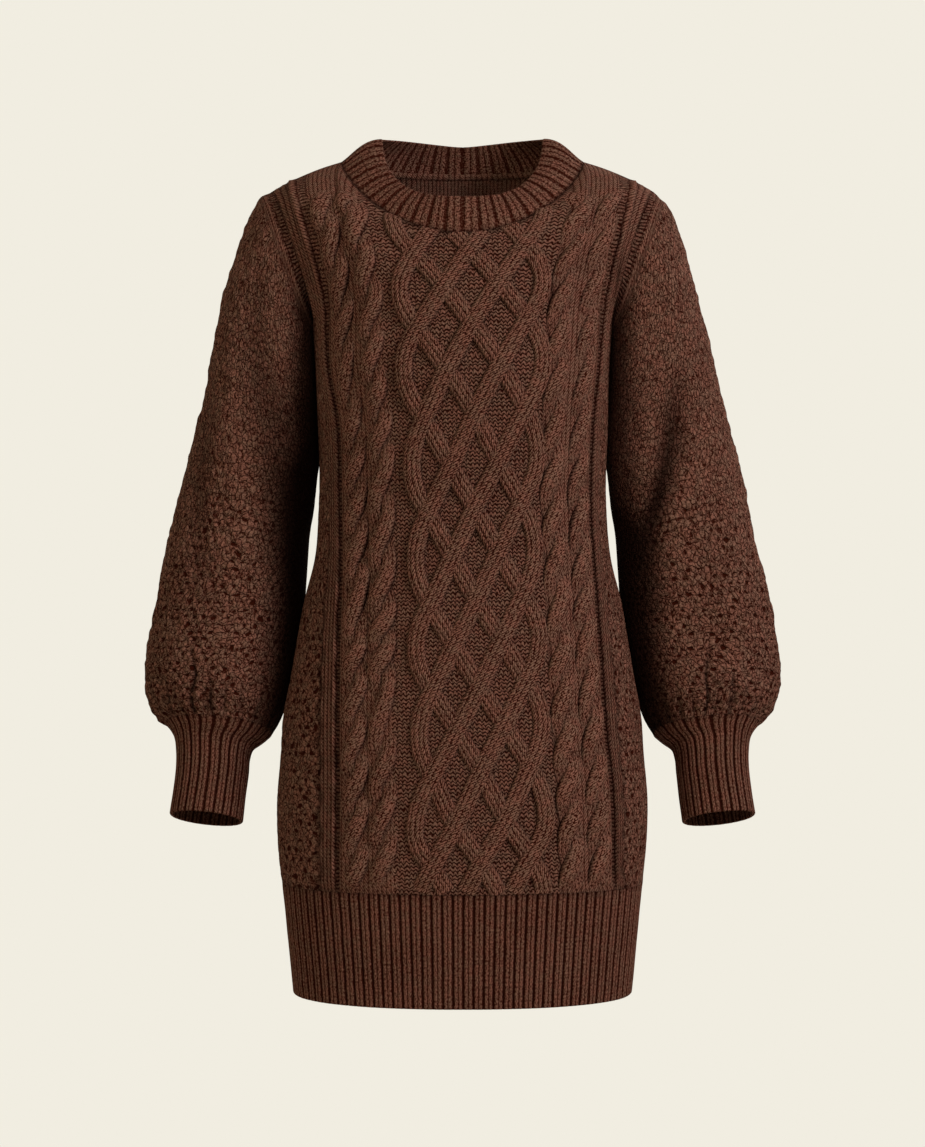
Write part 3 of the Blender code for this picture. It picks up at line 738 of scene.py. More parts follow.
    def lower_point(self, column: np.ndarray, z: np.ndarray, facing: int) -> np.ndarray:
        """Find points of a panel below the armpit.

        Args:
            column: their columns.
            z: their level.
            facing: the panel's side.

        Returns:
            The points.
        """
        half, depth = self.section(z, facing)
        if facing < 0:
            right, left = self.ladders(z)
        else:
            left = self.back_centre * half
            right = -left
        inner = np.clip(column, -1, 1)
        x = (left + right) / 2 + inner * (left - right) / 2
        turn = np.arccos(np.clip(np.abs(x) / half, 0, 1) ** (self.fullness / 2))
        turn = turn * (1 - np.clip(np.abs(column) - 1, 0, 1))
        x = np.sign(x) * half * np.cos(turn) ** (2 / self.fullness)
        y = facing * depth * np.sin(turn) ** (2 / self.fullness)
        return np.stack([x, y, z + 0 * x], -1)

    def top_point(self, column: np.ndarray, facing: int) -> np.ndarray:
        """Find where columns end, on the neck seam or the shoulder seam.

        Args:
            column: the columns.
            facing: the panel's side.

        Returns:
            The points.
        """
        angle = np.radians(smooth(self.neck_columns, self.neck_angles, np.abs(column)))
        angle = np.where(column < 0, np.pi - angle, angle)
        neck = self.neck_seam(angle if facing < 0 else -angle)
        reach = smooth(self.shoulder_columns, self.shoulder_x, np.abs(column))
        fall = smooth(*self.shoulder_line, reach)
        shoulder = np.stack([reach * np.sign(column), 0 * reach, fall], -1)
        on_neck = np.abs(column) <= self.neck_side + 1e-9
        return np.where(on_neck[..., None], neck, shoulder)

    def upper_point(self, column: np.ndarray, rise: np.ndarray, facing: int) -> np.ndarray:
        """Find points of a panel above the armpit.

        Args:
            column: their columns.
            rise: from 0 at the armpit to 1 at the top edge.
            facing: the panel's side.

        Returns:
            The points.
        """
        start = self.lower_point(column, self.armpit + 0 * column, facing)
        below = self.lower_point(column, self.armpit - self.leave_step + 0 * column, facing)
        end = self.top_point(column, facing)
        height = np.linalg.norm(end - start, axis=-1, keepdims=True)
        side = np.clip(np.abs(column) - 1, 0, 1)[..., None] ** self.armhole_spread
        sign = np.sign(column)[..., None]
        inward, forward, up = self.armhole_start
        first = np.concatenate([-sign * inward, facing * forward + 0 * sign, up + 0 * sign], -1)
        leave = (start - below) / self.leave_step * height * (1 - side) + side * first
        front, back = (self.front_over, self.front_up), (self.back_over, self.back_up)
        over, lift, aside = (
            smooth(self.run_columns, run, np.abs(column))[..., None]
            for run in (*(front if facing < 0 else back), self.inward)
        )
        aside = self.armhole_fall * side - aside
        arrive = np.concatenate([sign * aside, -facing * over, lift], -1)
        return hermite(rise[..., None], start, leave, end, arrive)

    def panel(
        self, columns: np.ndarray, levels: np.ndarray, rises: np.ndarray, facing: int
    ) -> np.ndarray:
        """Find rows of points of a panel, from the hem seam up to its top edge.

        Args:
            columns: one row of columns for each level and each rise, or one for all.
            levels: heights of the rows up to the armpit.
            rises: rows above it, up to 1.
            facing: -1 for the front, 1 for the back.

        Returns:
            The points, row by row.
        """
        rows = len(levels) + len(rises)
        columns = np.broadcast_to(columns, (rows, np.shape(columns)[-1]))
        points = [
            self.lower_point(row, z + 0 * row, facing) for row, z in zip(columns, levels)
        ] + [
            self.upper_point(row, rise + 0 * row, facing)
            for row, rise in zip(columns[len(levels) :], rises)
        ]
        return np.array(points)

    def knit_height(self, points: np.ndarray, armpit_row: int) -> np.ndarray:
        """Measure heights in knitted cloth: the level below the armpit, then the cloth's length.

        Args:
            points: a panel's rows of points.
            armpit_row: the row at the armpit.

        Returns:
            One height for each point.
        """
        height = points[:, :, 2].copy()
        steps = np.linalg.norm(np.diff(points[armpit_row:], axis=0), axis=-1)
        height[armpit_row + 1 :] = self.armpit + np.cumsum(steps, axis=0)
        return height


class PanelMap:
    """One panel's form, read by column and by height in knitted cloth."""

    def __init__(self, body: BodyForm, facing: int) -> None:
        """Measure the panel.

        Args:
            body: the dress's form.
            facing: -1 for the front, 1 for the back.
        """
        self.columns = np.linspace(-2, 2, 641)
        levels = np.linspace(body.hem_seam, body.armpit, 240)
        points = body.panel(self.columns, levels, np.linspace(0, 1, 71)[1:], facing)
        normals = grid_normals(points) * (1 if facing < 0 else -1)
        heights = body.knit_height(points, len(levels) - 1)
        self.tops = heights[-1]
        self.low, self.step = body.hem_seam, 2.0
        self.heights = np.arange(self.low, self.tops.max() + 2 * self.step, self.step)
        shape = (len(self.heights), len(self.columns), 3)
        self.points, self.normals = np.empty(shape), np.empty(shape)
        for j in range(len(self.columns)):
            for k in range(3):
                self.points[:, j, k] = np.interp(self.heights, heights[:, j], points[:, j, k])
                self.normals[:, j, k] = np.interp(self.heights, heights[:, j], normals[:, j, k])

    def top(self, column: np.ndarray) -> np.ndarray:
        """Find the knitted height of a column's top edge."""
        return np.interp(column, self.columns, self.tops)

    def read(self, column: np.ndarray, height: np.ndarray) -> tuple[np.ndarray, np.ndarray]:
        """Read the form, held within the panel.

        Args:
            column: panel columns.
            height: knitted heights.

        Returns:
            The points and their normals.
        """
        height = np.clip(height, self.low, self.top(column))
        j = np.clip((column + 2) / 4 * (len(self.columns) - 1), 0, len(self.columns) - 1.001)
        i = np.clip((height - self.low) / self.step, 0, len(self.heights) - 1.001)
        i0, j0 = i.astype(int), j.astype(int)
        a, b = (i - i0)[..., None], (j - j0)[..., None]
        found = []
        for table in (self.points, self.normals):
            low = table[i0, j0] * (1 - b) + table[i0, j0 + 1] * b
            high = table[i0 + 1, j0] * (1 - b) + table[i0 + 1, j0 + 1] * b
            found.append(low * (1 - a) + high * a)
        return found[0], unit(found[1])

    def column_at(self, x: np.ndarray, height: np.ndarray) -> np.ndarray:
        """Find the column that passes a distance x from the middle at each height."""
        rows = np.clip((height - self.low) / self.step, 0, len(self.heights) - 1).astype(int)
        return np.array([np.interp(a, self.points[r, :, 0], self.columns) for a, r in zip(x, rows)])

    def width(self, column: np.ndarray, height: np.ndarray) -> np.ndarray:
        """Measure the millimetres across the cloth for one unit of column."""
        ahead, _ = self.read(column + 0.02, height)
        behind, _ = self.read(column - 0.02, height)
        return np.maximum(np.linalg.norm(ahead - behind, axis=-1) / 0.04, 20)


# ---------------------------------------------------------------- pieces


@dataclass
class Garment:
    """What every piece of the dress shares."""

    body: BodyForm
    finishes: dict[str, bpy.types.Material]

    def make(
        self,
        cloth: Cloth,
        name: str,
        knits: Sequence[str],
        slot: str,
        node: Optional[str] = None,
    ) -> bpy.types.Object:
        """Make a piece of its cloth, and fasten it to the frame.

        Args:
            cloth: the collected cloth.
            name: the piece's name.
            knits: names of the finishes that its faces take.
            slot: the record's material slot; not used.
            node: the CAD node that it stands for, if it does.

        Returns:
            The piece.
        """
        piece = cloth.piece(name, [self.finishes[knit] for knit in knits])
        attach(piece, "root")
        if node:
            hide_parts(node)
        log.info("%s: %d faces", piece.name, len(piece.data.polygons))
        return piece


@dataclass
class PanelPiece(Garment):
    """The front or the back: a shell whose inside is plain and coarse."""

    armpit_rows: int = 255
    top_rows: int = 70
    coarse: int = 8  # outer grid steps for one step of the plain inside
    eyelet_depth: float = 1.3
    flat: tuple = (0.49, 0.735)  # of the knitted piece, metres
    area: float = 0.315

    def steps(self) -> tuple[np.ndarray, np.ndarray]:
        """Space the rows: the levels up to the armpit, then the rises from there to the top."""
        levels = np.linspace(self.body.hem_seam, self.body.armpit, self.armpit_rows)
        return levels, np.linspace(0, 1, self.top_rows + 1)[1:]

    def straighten(self, normals: np.ndarray) -> np.ndarray:
        """Level the normals along the hem seam and the side seams, where pieces meet.

        Args:
            normals: the panel's normals, which change in place.

        Returns:
            The same array.
        """
        normals[0] = unit(normals[0] * (1, 1, 0))
        for edge in (0, -1):
            normals[: self.armpit_rows, edge] = unit(normals[: self.armpit_rows, edge] * (1, 0, 0))
        return normals

    def edge_fade(self, shape: tuple[int, int], reach: int = 5) -> np.ndarray:
        """Rise from 0 on the panel's four edges to 1 within a few rows.

        Args:
            shape: the grid's rows and columns.
            reach: how many rows it takes.

        Returns:
            One value for each point of the grid.
        """
        rows, columns = (np.minimum(np.arange(n), n - 1 - np.arange(n)) for n in shape)
        return ease(0, reach, np.minimum(rows[:, None], columns[None, :]))

    def shell(
        self,
        cloth: Cloth,
        base: np.ndarray,
        normals: np.ndarray,
        heights: np.ndarray,
        shade: np.ndarray,
        zones: Sequence[tuple[int, int, int, int, np.ndarray, int]],
        columns: np.ndarray,
        facing: int,
    ) -> None:
        """Build the closed wall.

        Args:
            cloth: what collects it.
            base: the panel's form, row by row.
            normals: its outward normals.
            heights: relief over the form, mm.
            shade: how much light each point keeps.
            zones: grid columns, grid rows, stitch places and finish of each zone.
            columns: panel column of each grid column, in the top row.
            facing: -1 for the front, 1 for the back.
        """
        body, coarse = self.body, self.coarse
        outer = base + normals * heights[:, :, None]
        inner = base - normals * WALL
        on_neck = np.abs(columns) <= body.neck_side + 1e-9
        angle = np.radians(smooth(body.neck_columns, body.neck_angles, np.abs(columns)))
        angle = np.where(columns < 0, np.pi - angle, angle) * (1 if facing < 0 else -1)
        up, out = body.neck_frame(angle)
        outer[-1, on_neck] = base[-1, on_neck] - up[on_neck] * SEAM_GAP / 2
        inner[-1, on_neck] = outer[-1, on_neck] - out[on_neck] * WALL
        across = unit(np.gradient(base[-1], axis=0) * (1, 0, 1))
        down = np.stack([across[:, 2], 0 * across[:, 2], -across[:, 0]], -1)
        outer[-1, ~on_neck] = base[-1, ~on_neck]
        inner[-1, ~on_neck] = base[-1, ~on_neck] + down[~on_neck] * WALL
        armpit = self.armpit_rows - 1
        for edge in (0, -1):
            curve = base[armpit:, edge]
            shift = armhole_shift(np.sign(curve[0, 0])) * SEAM_GAP / 2
            outer[armpit:, edge] = curve - shift
            inner[armpit:, edge] = curve - shift + armhole_rim(body, curve) * WALL
        gap = facing * SEAM_GAP / 2
        for block in (outer, inner):
            block[: armpit + 1, (0, -1), 1] = gap
            block[-1, ~on_neck, 1] = gap
            block[0, :, 2] = body.hem_seam + SEAM_GAP / 2
        outside = cloth.add(outer, shade)
        inside = cloth.add(inner, 1.0)
        for first, last, low, high, places, finish in zones:
            cloth.cover(outside[low:high, first : last + 1], places[low:high], finish)
        rows, count = np.arange(base.shape[0]), np.arange(base.shape[1])
        plain = np.stack(np.meshgrid(count / 1.8, rows / 1.8), -1)
        pick_rows, pick_columns = (
            np.array([1, *range(1 + coarse, len(n) - 1 - coarse, coarse), len(n) - 2])
            for n in (rows, count)
        )
        core = inside[np.ix_(pick_rows, pick_columns)]
        core_places = plain[np.ix_(pick_rows, pick_columns)]
        cloth.cover(core, core_places)
        for edge in (0, -1):
            for line, at, picked in (
                (np.s_[edge], count, pick_columns),
                (np.s_[:, edge], rows, pick_rows),
            ):
                rim = (inside[line], at, plain[line])
                cloth.zip((outside[line], at, plain[line]), rim)
                cloth.zip(rim, (core[line], picked, core_places[line]))


def under_arm(points: np.ndarray, sign: int) -> np.ndarray:
    """Find how deep in a sleeve's shade the body's side lies.

    Args:
        points: points of a panel.
        sign: 1 for the wearer's left, -1 for the right.

    Returns:
        From 0 in the light to 1 in the shade.
    """
    levels = (-560, -480, -420, -370, -330, -280, -240, -205, -180)
    reach = (200, 172, 160, 152, 142, 138, 146, 152, 165)
    edge = smooth(levels, reach, points[..., 2])
    return ease(edge - 4, edge + 12, sign * points[..., 0]) * ease(-150, -190, points[..., 2])


def armhole_rim(body: BodyForm, points: np.ndarray) -> np.ndarray:
    """Find the direction through the wall along an armhole.

    Args:
        body: the dress's form.
        points: the armhole's edge, from the armpit up to the shoulder.

    Returns:
        One vector for each point, as long as the wall is thick there for each mm across.
    """
    middle = (points[0] + points[-1]) / 2
    lean = np.radians(body.armhole_lean * np.linspace(0, 1, len(points)))
    inward = (middle - points) * (0, 1, 1)
    inward[0] = (0, 0, 1)
    inward[-1] = (0, 0, -1)
    to_body = np.array([-np.sign(points[0, 0]), 0, 0])
    rim = unit(inward) * np.cos(lean)[:, None] + to_body * np.sin(lean)[:, None]
    return rim / np.cos(lean)[:, None]


def armhole_shift(sign: float) -> np.ndarray:
    """Find the unit vector from the body into a sleeve, square to the armhole's plane."""
    outer_x, outer_z, inner_x, inner_z = SLEEVE_RINGS[0][:4]
    lean = unit(np.array([outer_z - inner_z, 0, -(outer_x - inner_x)]))
    return lean * np.array([sign, 1, -1])


@dataclass
class FrontPanel(PanelPiece):
    """The front's ground: purl behind the cables, ladders, plain strips and moss at the sides."""

    band_edge: float = 0.588  # column where the purl ground gives way to the ropes' band
    ladder_half: float = 0.016  # below the armpit; it spreads above
    strip_heights: tuple = (-721, -600, -500, -400, -300, -210, -165, -110, -60, 20)
    strip_share: tuple = (0.15, 0.16, 0.19, 0.23, 0.27, 0.3, 0.38, 0.72, 0.95, 0.97)
    strip_end: float = 1.97  # the last column that the strip may reach
    spread: float = 2.0  # how much wider the ladders are at the top
    band_stitches: float = 31.0  # plain columns for one unit of column
    purl_stitches: float = 29.0
    strip_stitches: float = 4
    moss_cells: float = 8
    ladder_depth: float = 2.4
    lobe: float = 1.0  # height of the strip's columns, mm
    groove_depth: float = 0.9  # of the line where the moss knit starts
    rope_edge_depth: float = 1.2
    fold_depth: float = 1.6  # of the fold below the armhole

    def build(self) -> bpy.types.Object:
        """Make the front.

        Returns:
            The piece.
        """
        body = self.body
        levels, rises = self.steps()
        armpit, rows = len(levels) - 1, len(levels) + len(rises)
        rough = body.panel(np.array([1.0, 2.0]), levels, rises, -1)
        level = body.knit_height(rough, armpit)[:, 0]
        share = smooth(self.strip_heights, self.strip_share, level)[:, None]
        wide = self.ladder_half * (1 + self.spread * ease(-215, -50, level))[:, None]
        start = 1 + wide
        end = np.minimum(np.maximum(1 + share, start + 0.06), self.strip_end)
        parts = [
            self.band_edge + (1 - wide - self.band_edge) * np.linspace(0, 1, 24)[1:],
            1 + wide * np.array([-0.6, -0.2, 0.2, 0.6, 1]),
            start + np.linspace(0, 1, 17)[1:] * (end - start),
            end + np.linspace(0, 1, 37)[1:] * (2 - end),
        ]
        half = np.concatenate(parts, axis=1)
        middle = np.linspace(-self.band_edge, self.band_edge, MIDDLE)
        middle = np.broadcast_to(middle, (rows, MIDDLE))
        columns = np.concatenate([-half[:, ::-1], middle, half], axis=1)
        base = body.panel(columns, levels, rises, -1)
        heights = body.knit_height(base, armpit)
        normals = self.straighten(grid_normals(base))
        noise, fade = SoftNoise(11), self.edge_fade(base.shape[:2])
        base = base + normals * (noise(base, 70.0) * 1.2 * fade)[..., None]

        relief, shade, zones = np.zeros(base.shape[:2]), np.ones(base.shape[:2]), []
        plain_rows, purl_rows = heights / PLAIN_ROW, heights / PURL_ROW
        warp_u, warp_v = noise(base + 300, 26.0) * 0.22, noise(base + 900, 24.0) * 0.22
        moss_depth = self.eyelet_depth * ease(0.44, 0.38, share)
        # Below the armhole the side folds inward, and the fold is painted with shade.
        fold_and_painted_shade = (0.8 * ease(-95, -180, level) * ease(0.36, 0.44, share[:, 0]))[:, None]
        turn = len(levels) + 2
        inner = half.shape[1]
        cuts = inner + MIDDLE - 1 + np.cumsum([0, *(part.shape[1] for part in parts)])
        for side in (-1, 1):
            lines = np.arange(columns.shape[1])[::side]
            band, ladder, strip, moss = (lines[a : b + 1] for a, b in zip(cuts, cuts[1:]))
            q = np.linspace(0, 1, len(moss))
            moss_u = q * self.moss_cells + warp_u[:, moss]
            moss_v = heights[:, moss] / MOSS_ROW + warp_v[:, moss]
            relief[:, moss[1:]] -= (moss_depth * moss_eyelets(moss_u, moss_v))[:, 1:]
            relief[:, moss] -= self.fold_depth * q**2 * fold_and_painted_shade
            shade[:, moss] *= 1 - fold_and_painted_shade * q
            strip_u = np.linspace(0, self.strip_stitches, len(strip))
            lobes = 0.5 - 0.5 * np.cos(2 * np.pi * strip_u)
            relief[:, strip] += self.lobe * lobes
            relief[:, strip[:5]] += self.lobe * lobes[:5]
            # Painted shade lies between the strip's columns, and lower down a little over its outer
            # columns.
            shade[:, strip] *= 1 - 0.22 * (1 - lobes)
            shade[:, strip[4:]] *= 1 - 0.06 * ease(-190, -320, level)[:, None]
            band_u = np.abs(columns[:, band]) * self.band_stitches
            rungs = (np.abs(columns[:, ladder]) - 1) / (2 * wide) + 0.5
            # Above the armpit the strip's plain columns go on to the armhole, which lies in shade.
            for cols, u, v, finish, low, high in (
                (band, band_u, plain_rows[:, band], 1, 0, rows),
                (ladder, rungs, purl_rows[:, ladder], 2, 0, rows),
                (strip, strip_u, plain_rows[:, strip], 1, 0, rows),
                (moss, moss_u, moss_v, 3, 0, turn + 1),
                (moss, self.strip_stitches + q * 2, plain_rows[:, moss], 1, turn, rows),
            ):
                uv = np.stack(np.broadcast_arrays(u, v), -1)[:, ::side]
                zones.append((cols.min(), cols.max(), low, high, uv, finish))
        middle = slice(inner, inner + MIDDLE)
        uv = np.stack([columns[:, middle] * self.purl_stitches, purl_rows[:, middle]], -1)
        zones.append((inner, inner + MIDDLE - 1, 0, rows, uv, 0))
        # The ladders are sunk, and the moss knit starts at a thin crooked groove; both are painted
        # with shade.
        sunk = ease(1.5 * wide, 0.4 * wide, np.abs(np.abs(columns) - 1))
        relief -= self.ladder_depth * sunk * (1 - 0.6 * ease(-110, -40, level))[:, None]
        shade *= 1 - (0.56 - 0.36 * ease(-200, -100, level))[:, None] * sunk
        wavy = 0.02 * np.sin(heights / 5.5)
        groove = ease(0.05, 0.0, np.abs(np.abs(columns) - end - 0.01 - wavy))
        groove = groove * (1 - ease(-165, -120, heights))
        relief -= self.groove_depth * groove
        shade *= 1 - 0.55 * groove
        # Beside the lattice on the wearer's left the ground sinks under the rope's edge, and is
        # painted with shade there.
        beside_rope = ease(0.022, 0.0, np.abs(columns - self.band_edge - 0.012))
        relief -= self.rope_edge_depth * beside_rope
        shade *= 1 - 0.6 * beside_rope
        # The purl ground lies in the cables' shade, and the top rows in the neckband's.
        shade *= 1 - 0.16 * (np.abs(columns) < self.band_edge)
        relief *= fade
        shade *= 1 - 0.85 * under_arm(base, -1)
        # Painted shade darkens the panel towards its seams.
        shade *= 0.7 + 0.3 * self.edge_fade(base.shape[:2], 3)
        under_band = ease(7.0, 1.5, heights[-1] - heights) * (np.abs(columns) < body.neck_side)
        shade *= 1 - 0.5 * under_band
        cloth = Cloth()
        self.shell(cloth, base, normals, relief, shade, zones, columns[-1], -1)
        knits = ("purl ground", "plain knit", "ladder", "moss knit")
        return self.make(cloth, "front_knit", knits, "cable_knit", "front")


@dataclass
class BackPanel(PanelPiece):
    """The back: moss knit from hem to neck, between the same seams."""

    inner_cells: float = 17  # from the middle to the line of the ladders
    outer_cells: float = 7

    def build(self) -> bpy.types.Object:
        """Make the back.

        Returns:
            The piece.
        """
        levels, rises = self.steps()
        half = np.concatenate([np.linspace(0, 1, 67)[1:], 1 + np.linspace(0, 1, 31)[1:]])
        columns = np.concatenate([-half[::-1], [0], half])
        base = self.body.panel(columns, levels, rises, 1)
        heights = self.body.knit_height(base, len(levels) - 1)
        normals = self.straighten(-grid_normals(base))
        noise, fade = SoftNoise(12), self.edge_fade(base.shape[:2])
        base = base + normals * (noise(base, 80.0) * 1.5 * fade)[..., None]
        far = np.abs(columns)
        cells = np.clip(far, 0, 1) * self.inner_cells + np.clip(far - 1, 0, 1) * self.outer_cells
        across = np.sign(columns) * cells + noise(base + 300, 26.0) * 0.25
        upward = heights / MOSS_ROW + noise(base + 900, 24.0) * 0.25
        relief = -self.eyelet_depth * moss_eyelets(across, upward) * fade
        # Painted shade darkens the panel towards its seams.
        shade = 0.75 + 0.25 * self.edge_fade(base.shape[:2], 3)
        cloth = Cloth()
        zones = [(0, len(columns) - 1, 0, len(base), np.stack([across, upward], -1), 1)]
        self.shell(cloth, base, normals, relief, shade, zones, columns, 1)
        return self.make(cloth, "back_knit", ("plain knit", "moss knit"), "moss_knit", "back")


def close_ends(cloth: Cloth, numbers: np.ndarray, ring: np.ndarray, places: np.ndarray) -> None:
    """Close a tube's two ends with a fan each.

    Args:
        cloth: what collects it.
        numbers: its points' numbers, ring by ring.
        ring: the points.
        places: their stitch places.
    """
    for end in (0, -1):
        # The tip of each fan is painted half in shade.
        tip = cloth.add(ring[end].mean(axis=0)[None], 0.5)
        line, uv = numbers[end], places[end]
        faces = np.stack([line, np.roll(line, -1), np.full(len(line), tip[0])], -1)
        uvs = np.stack([uv, np.roll(uv, -1, axis=0), np.broadcast_to(uv.mean(axis=0), uv.shape)], 1)
        cloth.faces[3].append((faces, uvs, 0))


@dataclass
class Cable(Garment):
    """Strands of plain knitting, each a closed tube that lies over the front's ground."""

    panel: Optional[PanelMap] = None
    dip: float = 1.8  # how far a strand's underside lies in the ground, mm
    under_shade: float = 0.4  # light kept there
    lobe: float = 0.35  # height of its plain columns over the lines between

    def section(self, points: int, power: float, root: float) -> tuple[np.ndarray, ...]:
        """Shape a strand across its width.

        Args:
            points: how many points it has.
            power: how square it is at its edges.
            root: how steeply they fall.

        Returns:
            Places from -1 to 1, its height there from 0 to 1, and its four plain columns.
        """
        s = np.linspace(-1, 1, points)
        lobes = -np.cos(np.pi * (s + 1) * 4) * self.lobe * (1 - np.abs(s) ** 8)
        return s, np.clip(1 - np.abs(s) ** power, 0, 1) ** root, lobes

    def beside(self, line: Sequence[np.ndarray], offset: np.ndarray) -> tuple:
        """Read the panel beside a strand's middle line.

        Args:
            line: along the strand, its columns, knitted heights, millimetres for one unit of
                column, and the way across it.
            offset: millimetres from the line, one row for each of its rings.

        Returns:
            The points and their normals.
        """
        column, height, width, side_x, side_z = (part[:, None] for part in line)
        return self.panel.read(column + offset * side_x / width, height + offset * side_z)

    def tube(
        self,
        cloth: Cloth,
        line: Sequence[np.ndarray],
        offsets: tuple[np.ndarray, np.ndarray],
        top: np.ndarray,
        shade: tuple[np.ndarray, np.ndarray],
        path: np.ndarray,
    ) -> None:
        """Build one run of a strand, four plain columns wide.

        Args:
            cloth: what collects it.
            line: its middle line, as beside takes it.
            offsets: how far from the line the points of its top and of its underside lie.
            top: the top's height over the panel.
            shade: light kept across the top, and along the strand.
            path: millimetres along the strand.
        """
        (points, normals), (low, low_normals) = (self.beside(line, o) for o in offsets)
        upper = points + normals * top[..., None]
        ring = np.concatenate([upper, low - low_normals * self.dip], axis=1)
        across, along = shade
        numbers = cloth.add(ring, np.append(across, [self.under_shade] * 3) * along[:, None])
        u = np.append(np.linspace(0, 4, len(across)), [5, 6, 7])
        places = np.stack(np.broadcast_arrays(u, path[:, None] / PLAIN_ROW), -1)
        cloth.cover(numbers, places, period=8.0)
        close_ends(cloth, numbers, ring, places)


@dataclass
class LatticeCable(Cable):
    """Six strands that climb, cross and turn back over the middle of the front."""

    count: int = 6
    # Rows of crossings, from the hem up: their heights, their middles' distance from the dress's,
    # and the step from one crossing to the next.
    heights: tuple = (
        *(-733, -690, -652.3, -603.2, -561.7, -522.2, -480.1, -438.9, -395.2),
        *(-350.6, -308.4, -260.7, -215.6, -173.8, -135.6, -99.8, -62, -24),
    )
    middles: tuple = (
        *(17.9, 17.9, 17.5, 17.6, 17.3, 16, 14.6, 13.2, 12.2),
        *(11.7, 11.5, 11.5, 10.5, 9, 8.5, 7, 6, 6),
    )
    steps: tuple = (
        *(23.4, 23.6, 24.2, 23.4, 22.6, 22.6, 22.8, 22.3, 22.1),
        *(22.4, 23.1, 24.2, 25.6, 26.3, 26.4, 26.6, 28.3, 29),
    )
    first_turn: int = -15
    slant: float = 2.4  # how much higher each step to the left lies
    rounding: float = 0.75  # turns to either side over which the outer bends are rounded
    half: float = 9.6  # half a strand's width
    top: float = 4.6  # a strand's height over the ground, mm
    edge_drop: float = 1.2  # how far its edges dip into the ground
    over: float = 1.1  # how much the upper strand climbs at a crossing
    under: float = 2.6  # how much the lower one dips
    ring: float = 0.053  # turns in one step along a strand

    def place(self, strand: int, turns: np.ndarray) -> np.ndarray:
        """Find where a strand lies, in steps from the first, before its bends are rounded."""
        phase = np.mod(turns + 2 * strand + 1, 2 * self.count)
        return np.where(phase < self.count, phase, 2 * self.count - phase) - 0.5

    def rounded(self, strand: int, turns: np.ndarray) -> np.ndarray:
        """Find where a strand lies, with its bends rounded."""
        shifts = np.linspace(-self.rounding, self.rounding, 15)
        return sum(self.place(strand, turns + shift) for shift in shifts) / len(shifts)

    def build(self) -> bpy.types.Object:
        """Make the six strands as one piece.

        Returns:
            The piece.
        """
        cloth, noise = Cloth(), SoftNoise(21)
        known = self.first_turn + np.arange(len(self.heights))
        for strand in range(self.count):
            turns = np.arange(known[0], known[-1], self.ring)
            place = self.rounded(strand, turns) - (self.count - 1) / 2
            height = smooth(known, self.heights, turns) + self.slant * place
            x = smooth(known, self.middles, turns) + smooth(known, self.steps, turns) * place
            column = self.panel.column_at(x, height)
            inside = (height < self.panel.top(column) - 2) & (height > self.panel.low + 1)
            for start in np.flatnonzero(inside & ~np.roll(inside, 1)):
                stop = start + int(np.argmin(np.append(inside[start:], False)))
                if stop - start > 5:
                    run = slice(start, min(stop + 2, len(turns)))
                    self.strand(cloth, noise, strand, turns[run], column[run], height[run])
        return self.make(cloth, "lattice_cable", ["cable knit"], "cable_knit")

    def strand(
        self,
        cloth: Cloth,
        noise: SoftNoise,
        strand: int,
        turns: np.ndarray,
        column: np.ndarray,
        height: np.ndarray,
    ) -> None:
        """Lay one run of a strand.

        Args:
            cloth: what collects it.
            noise: its unevenness.
            strand: its number, from 0.
            turns: where it has got to, in rows of crossings.
            column: the panel column of each of its rings.
            height: the knitted height of each.
        """
        width = self.panel.width(column, height)
        across, up = np.gradient(column) * width, np.gradient(height)
        length = np.hypot(across, up)
        raw = self.place(strand, turns)
        rising = np.gradient(raw) > 0
        near = np.exp(-(((turns - np.round(turns)) / 0.23) ** 2))
        crossing = near * ((raw > 0.0) & (raw < self.count - 1.0))
        crossing = np.convolve(np.pad(crossing, 2, mode="edge"), np.ones(5) / 5, mode="valid")
        lift = np.where(rising, self.over, -self.under) * crossing
        s, profile, lobes = self.section(17, 3.0, 0.6)
        spot = np.stack([column * 130, height, 0 * height + strand * 40], -1)
        flare = 1 + 0.04 * noise(spot, 18.0)
        order = np.arange(len(height))
        ends = ease(0, 6, order) * ease(len(height) - 1, len(height) - 6, order)
        top = (self.top + lift)[:, None] * profile + lobes - self.edge_drop * (1 - profile)
        # The strand's shade is painted: dark at its edges, and on the lower strand at a crossing.
        self.tube(
            cloth,
            (column, height, width, up / length, -across / length),
            tuple(np.outer(self.half * flare, t) for t in (s, (0.55, 0.0, -0.55))),
            top * (0.15 + 0.85 * ends)[:, None],
            (1 - 0.85 * np.abs(s) ** 9, 1 - 0.25 * crossing * ~rising),
            np.append(0, np.cumsum(length[1:])),
        )


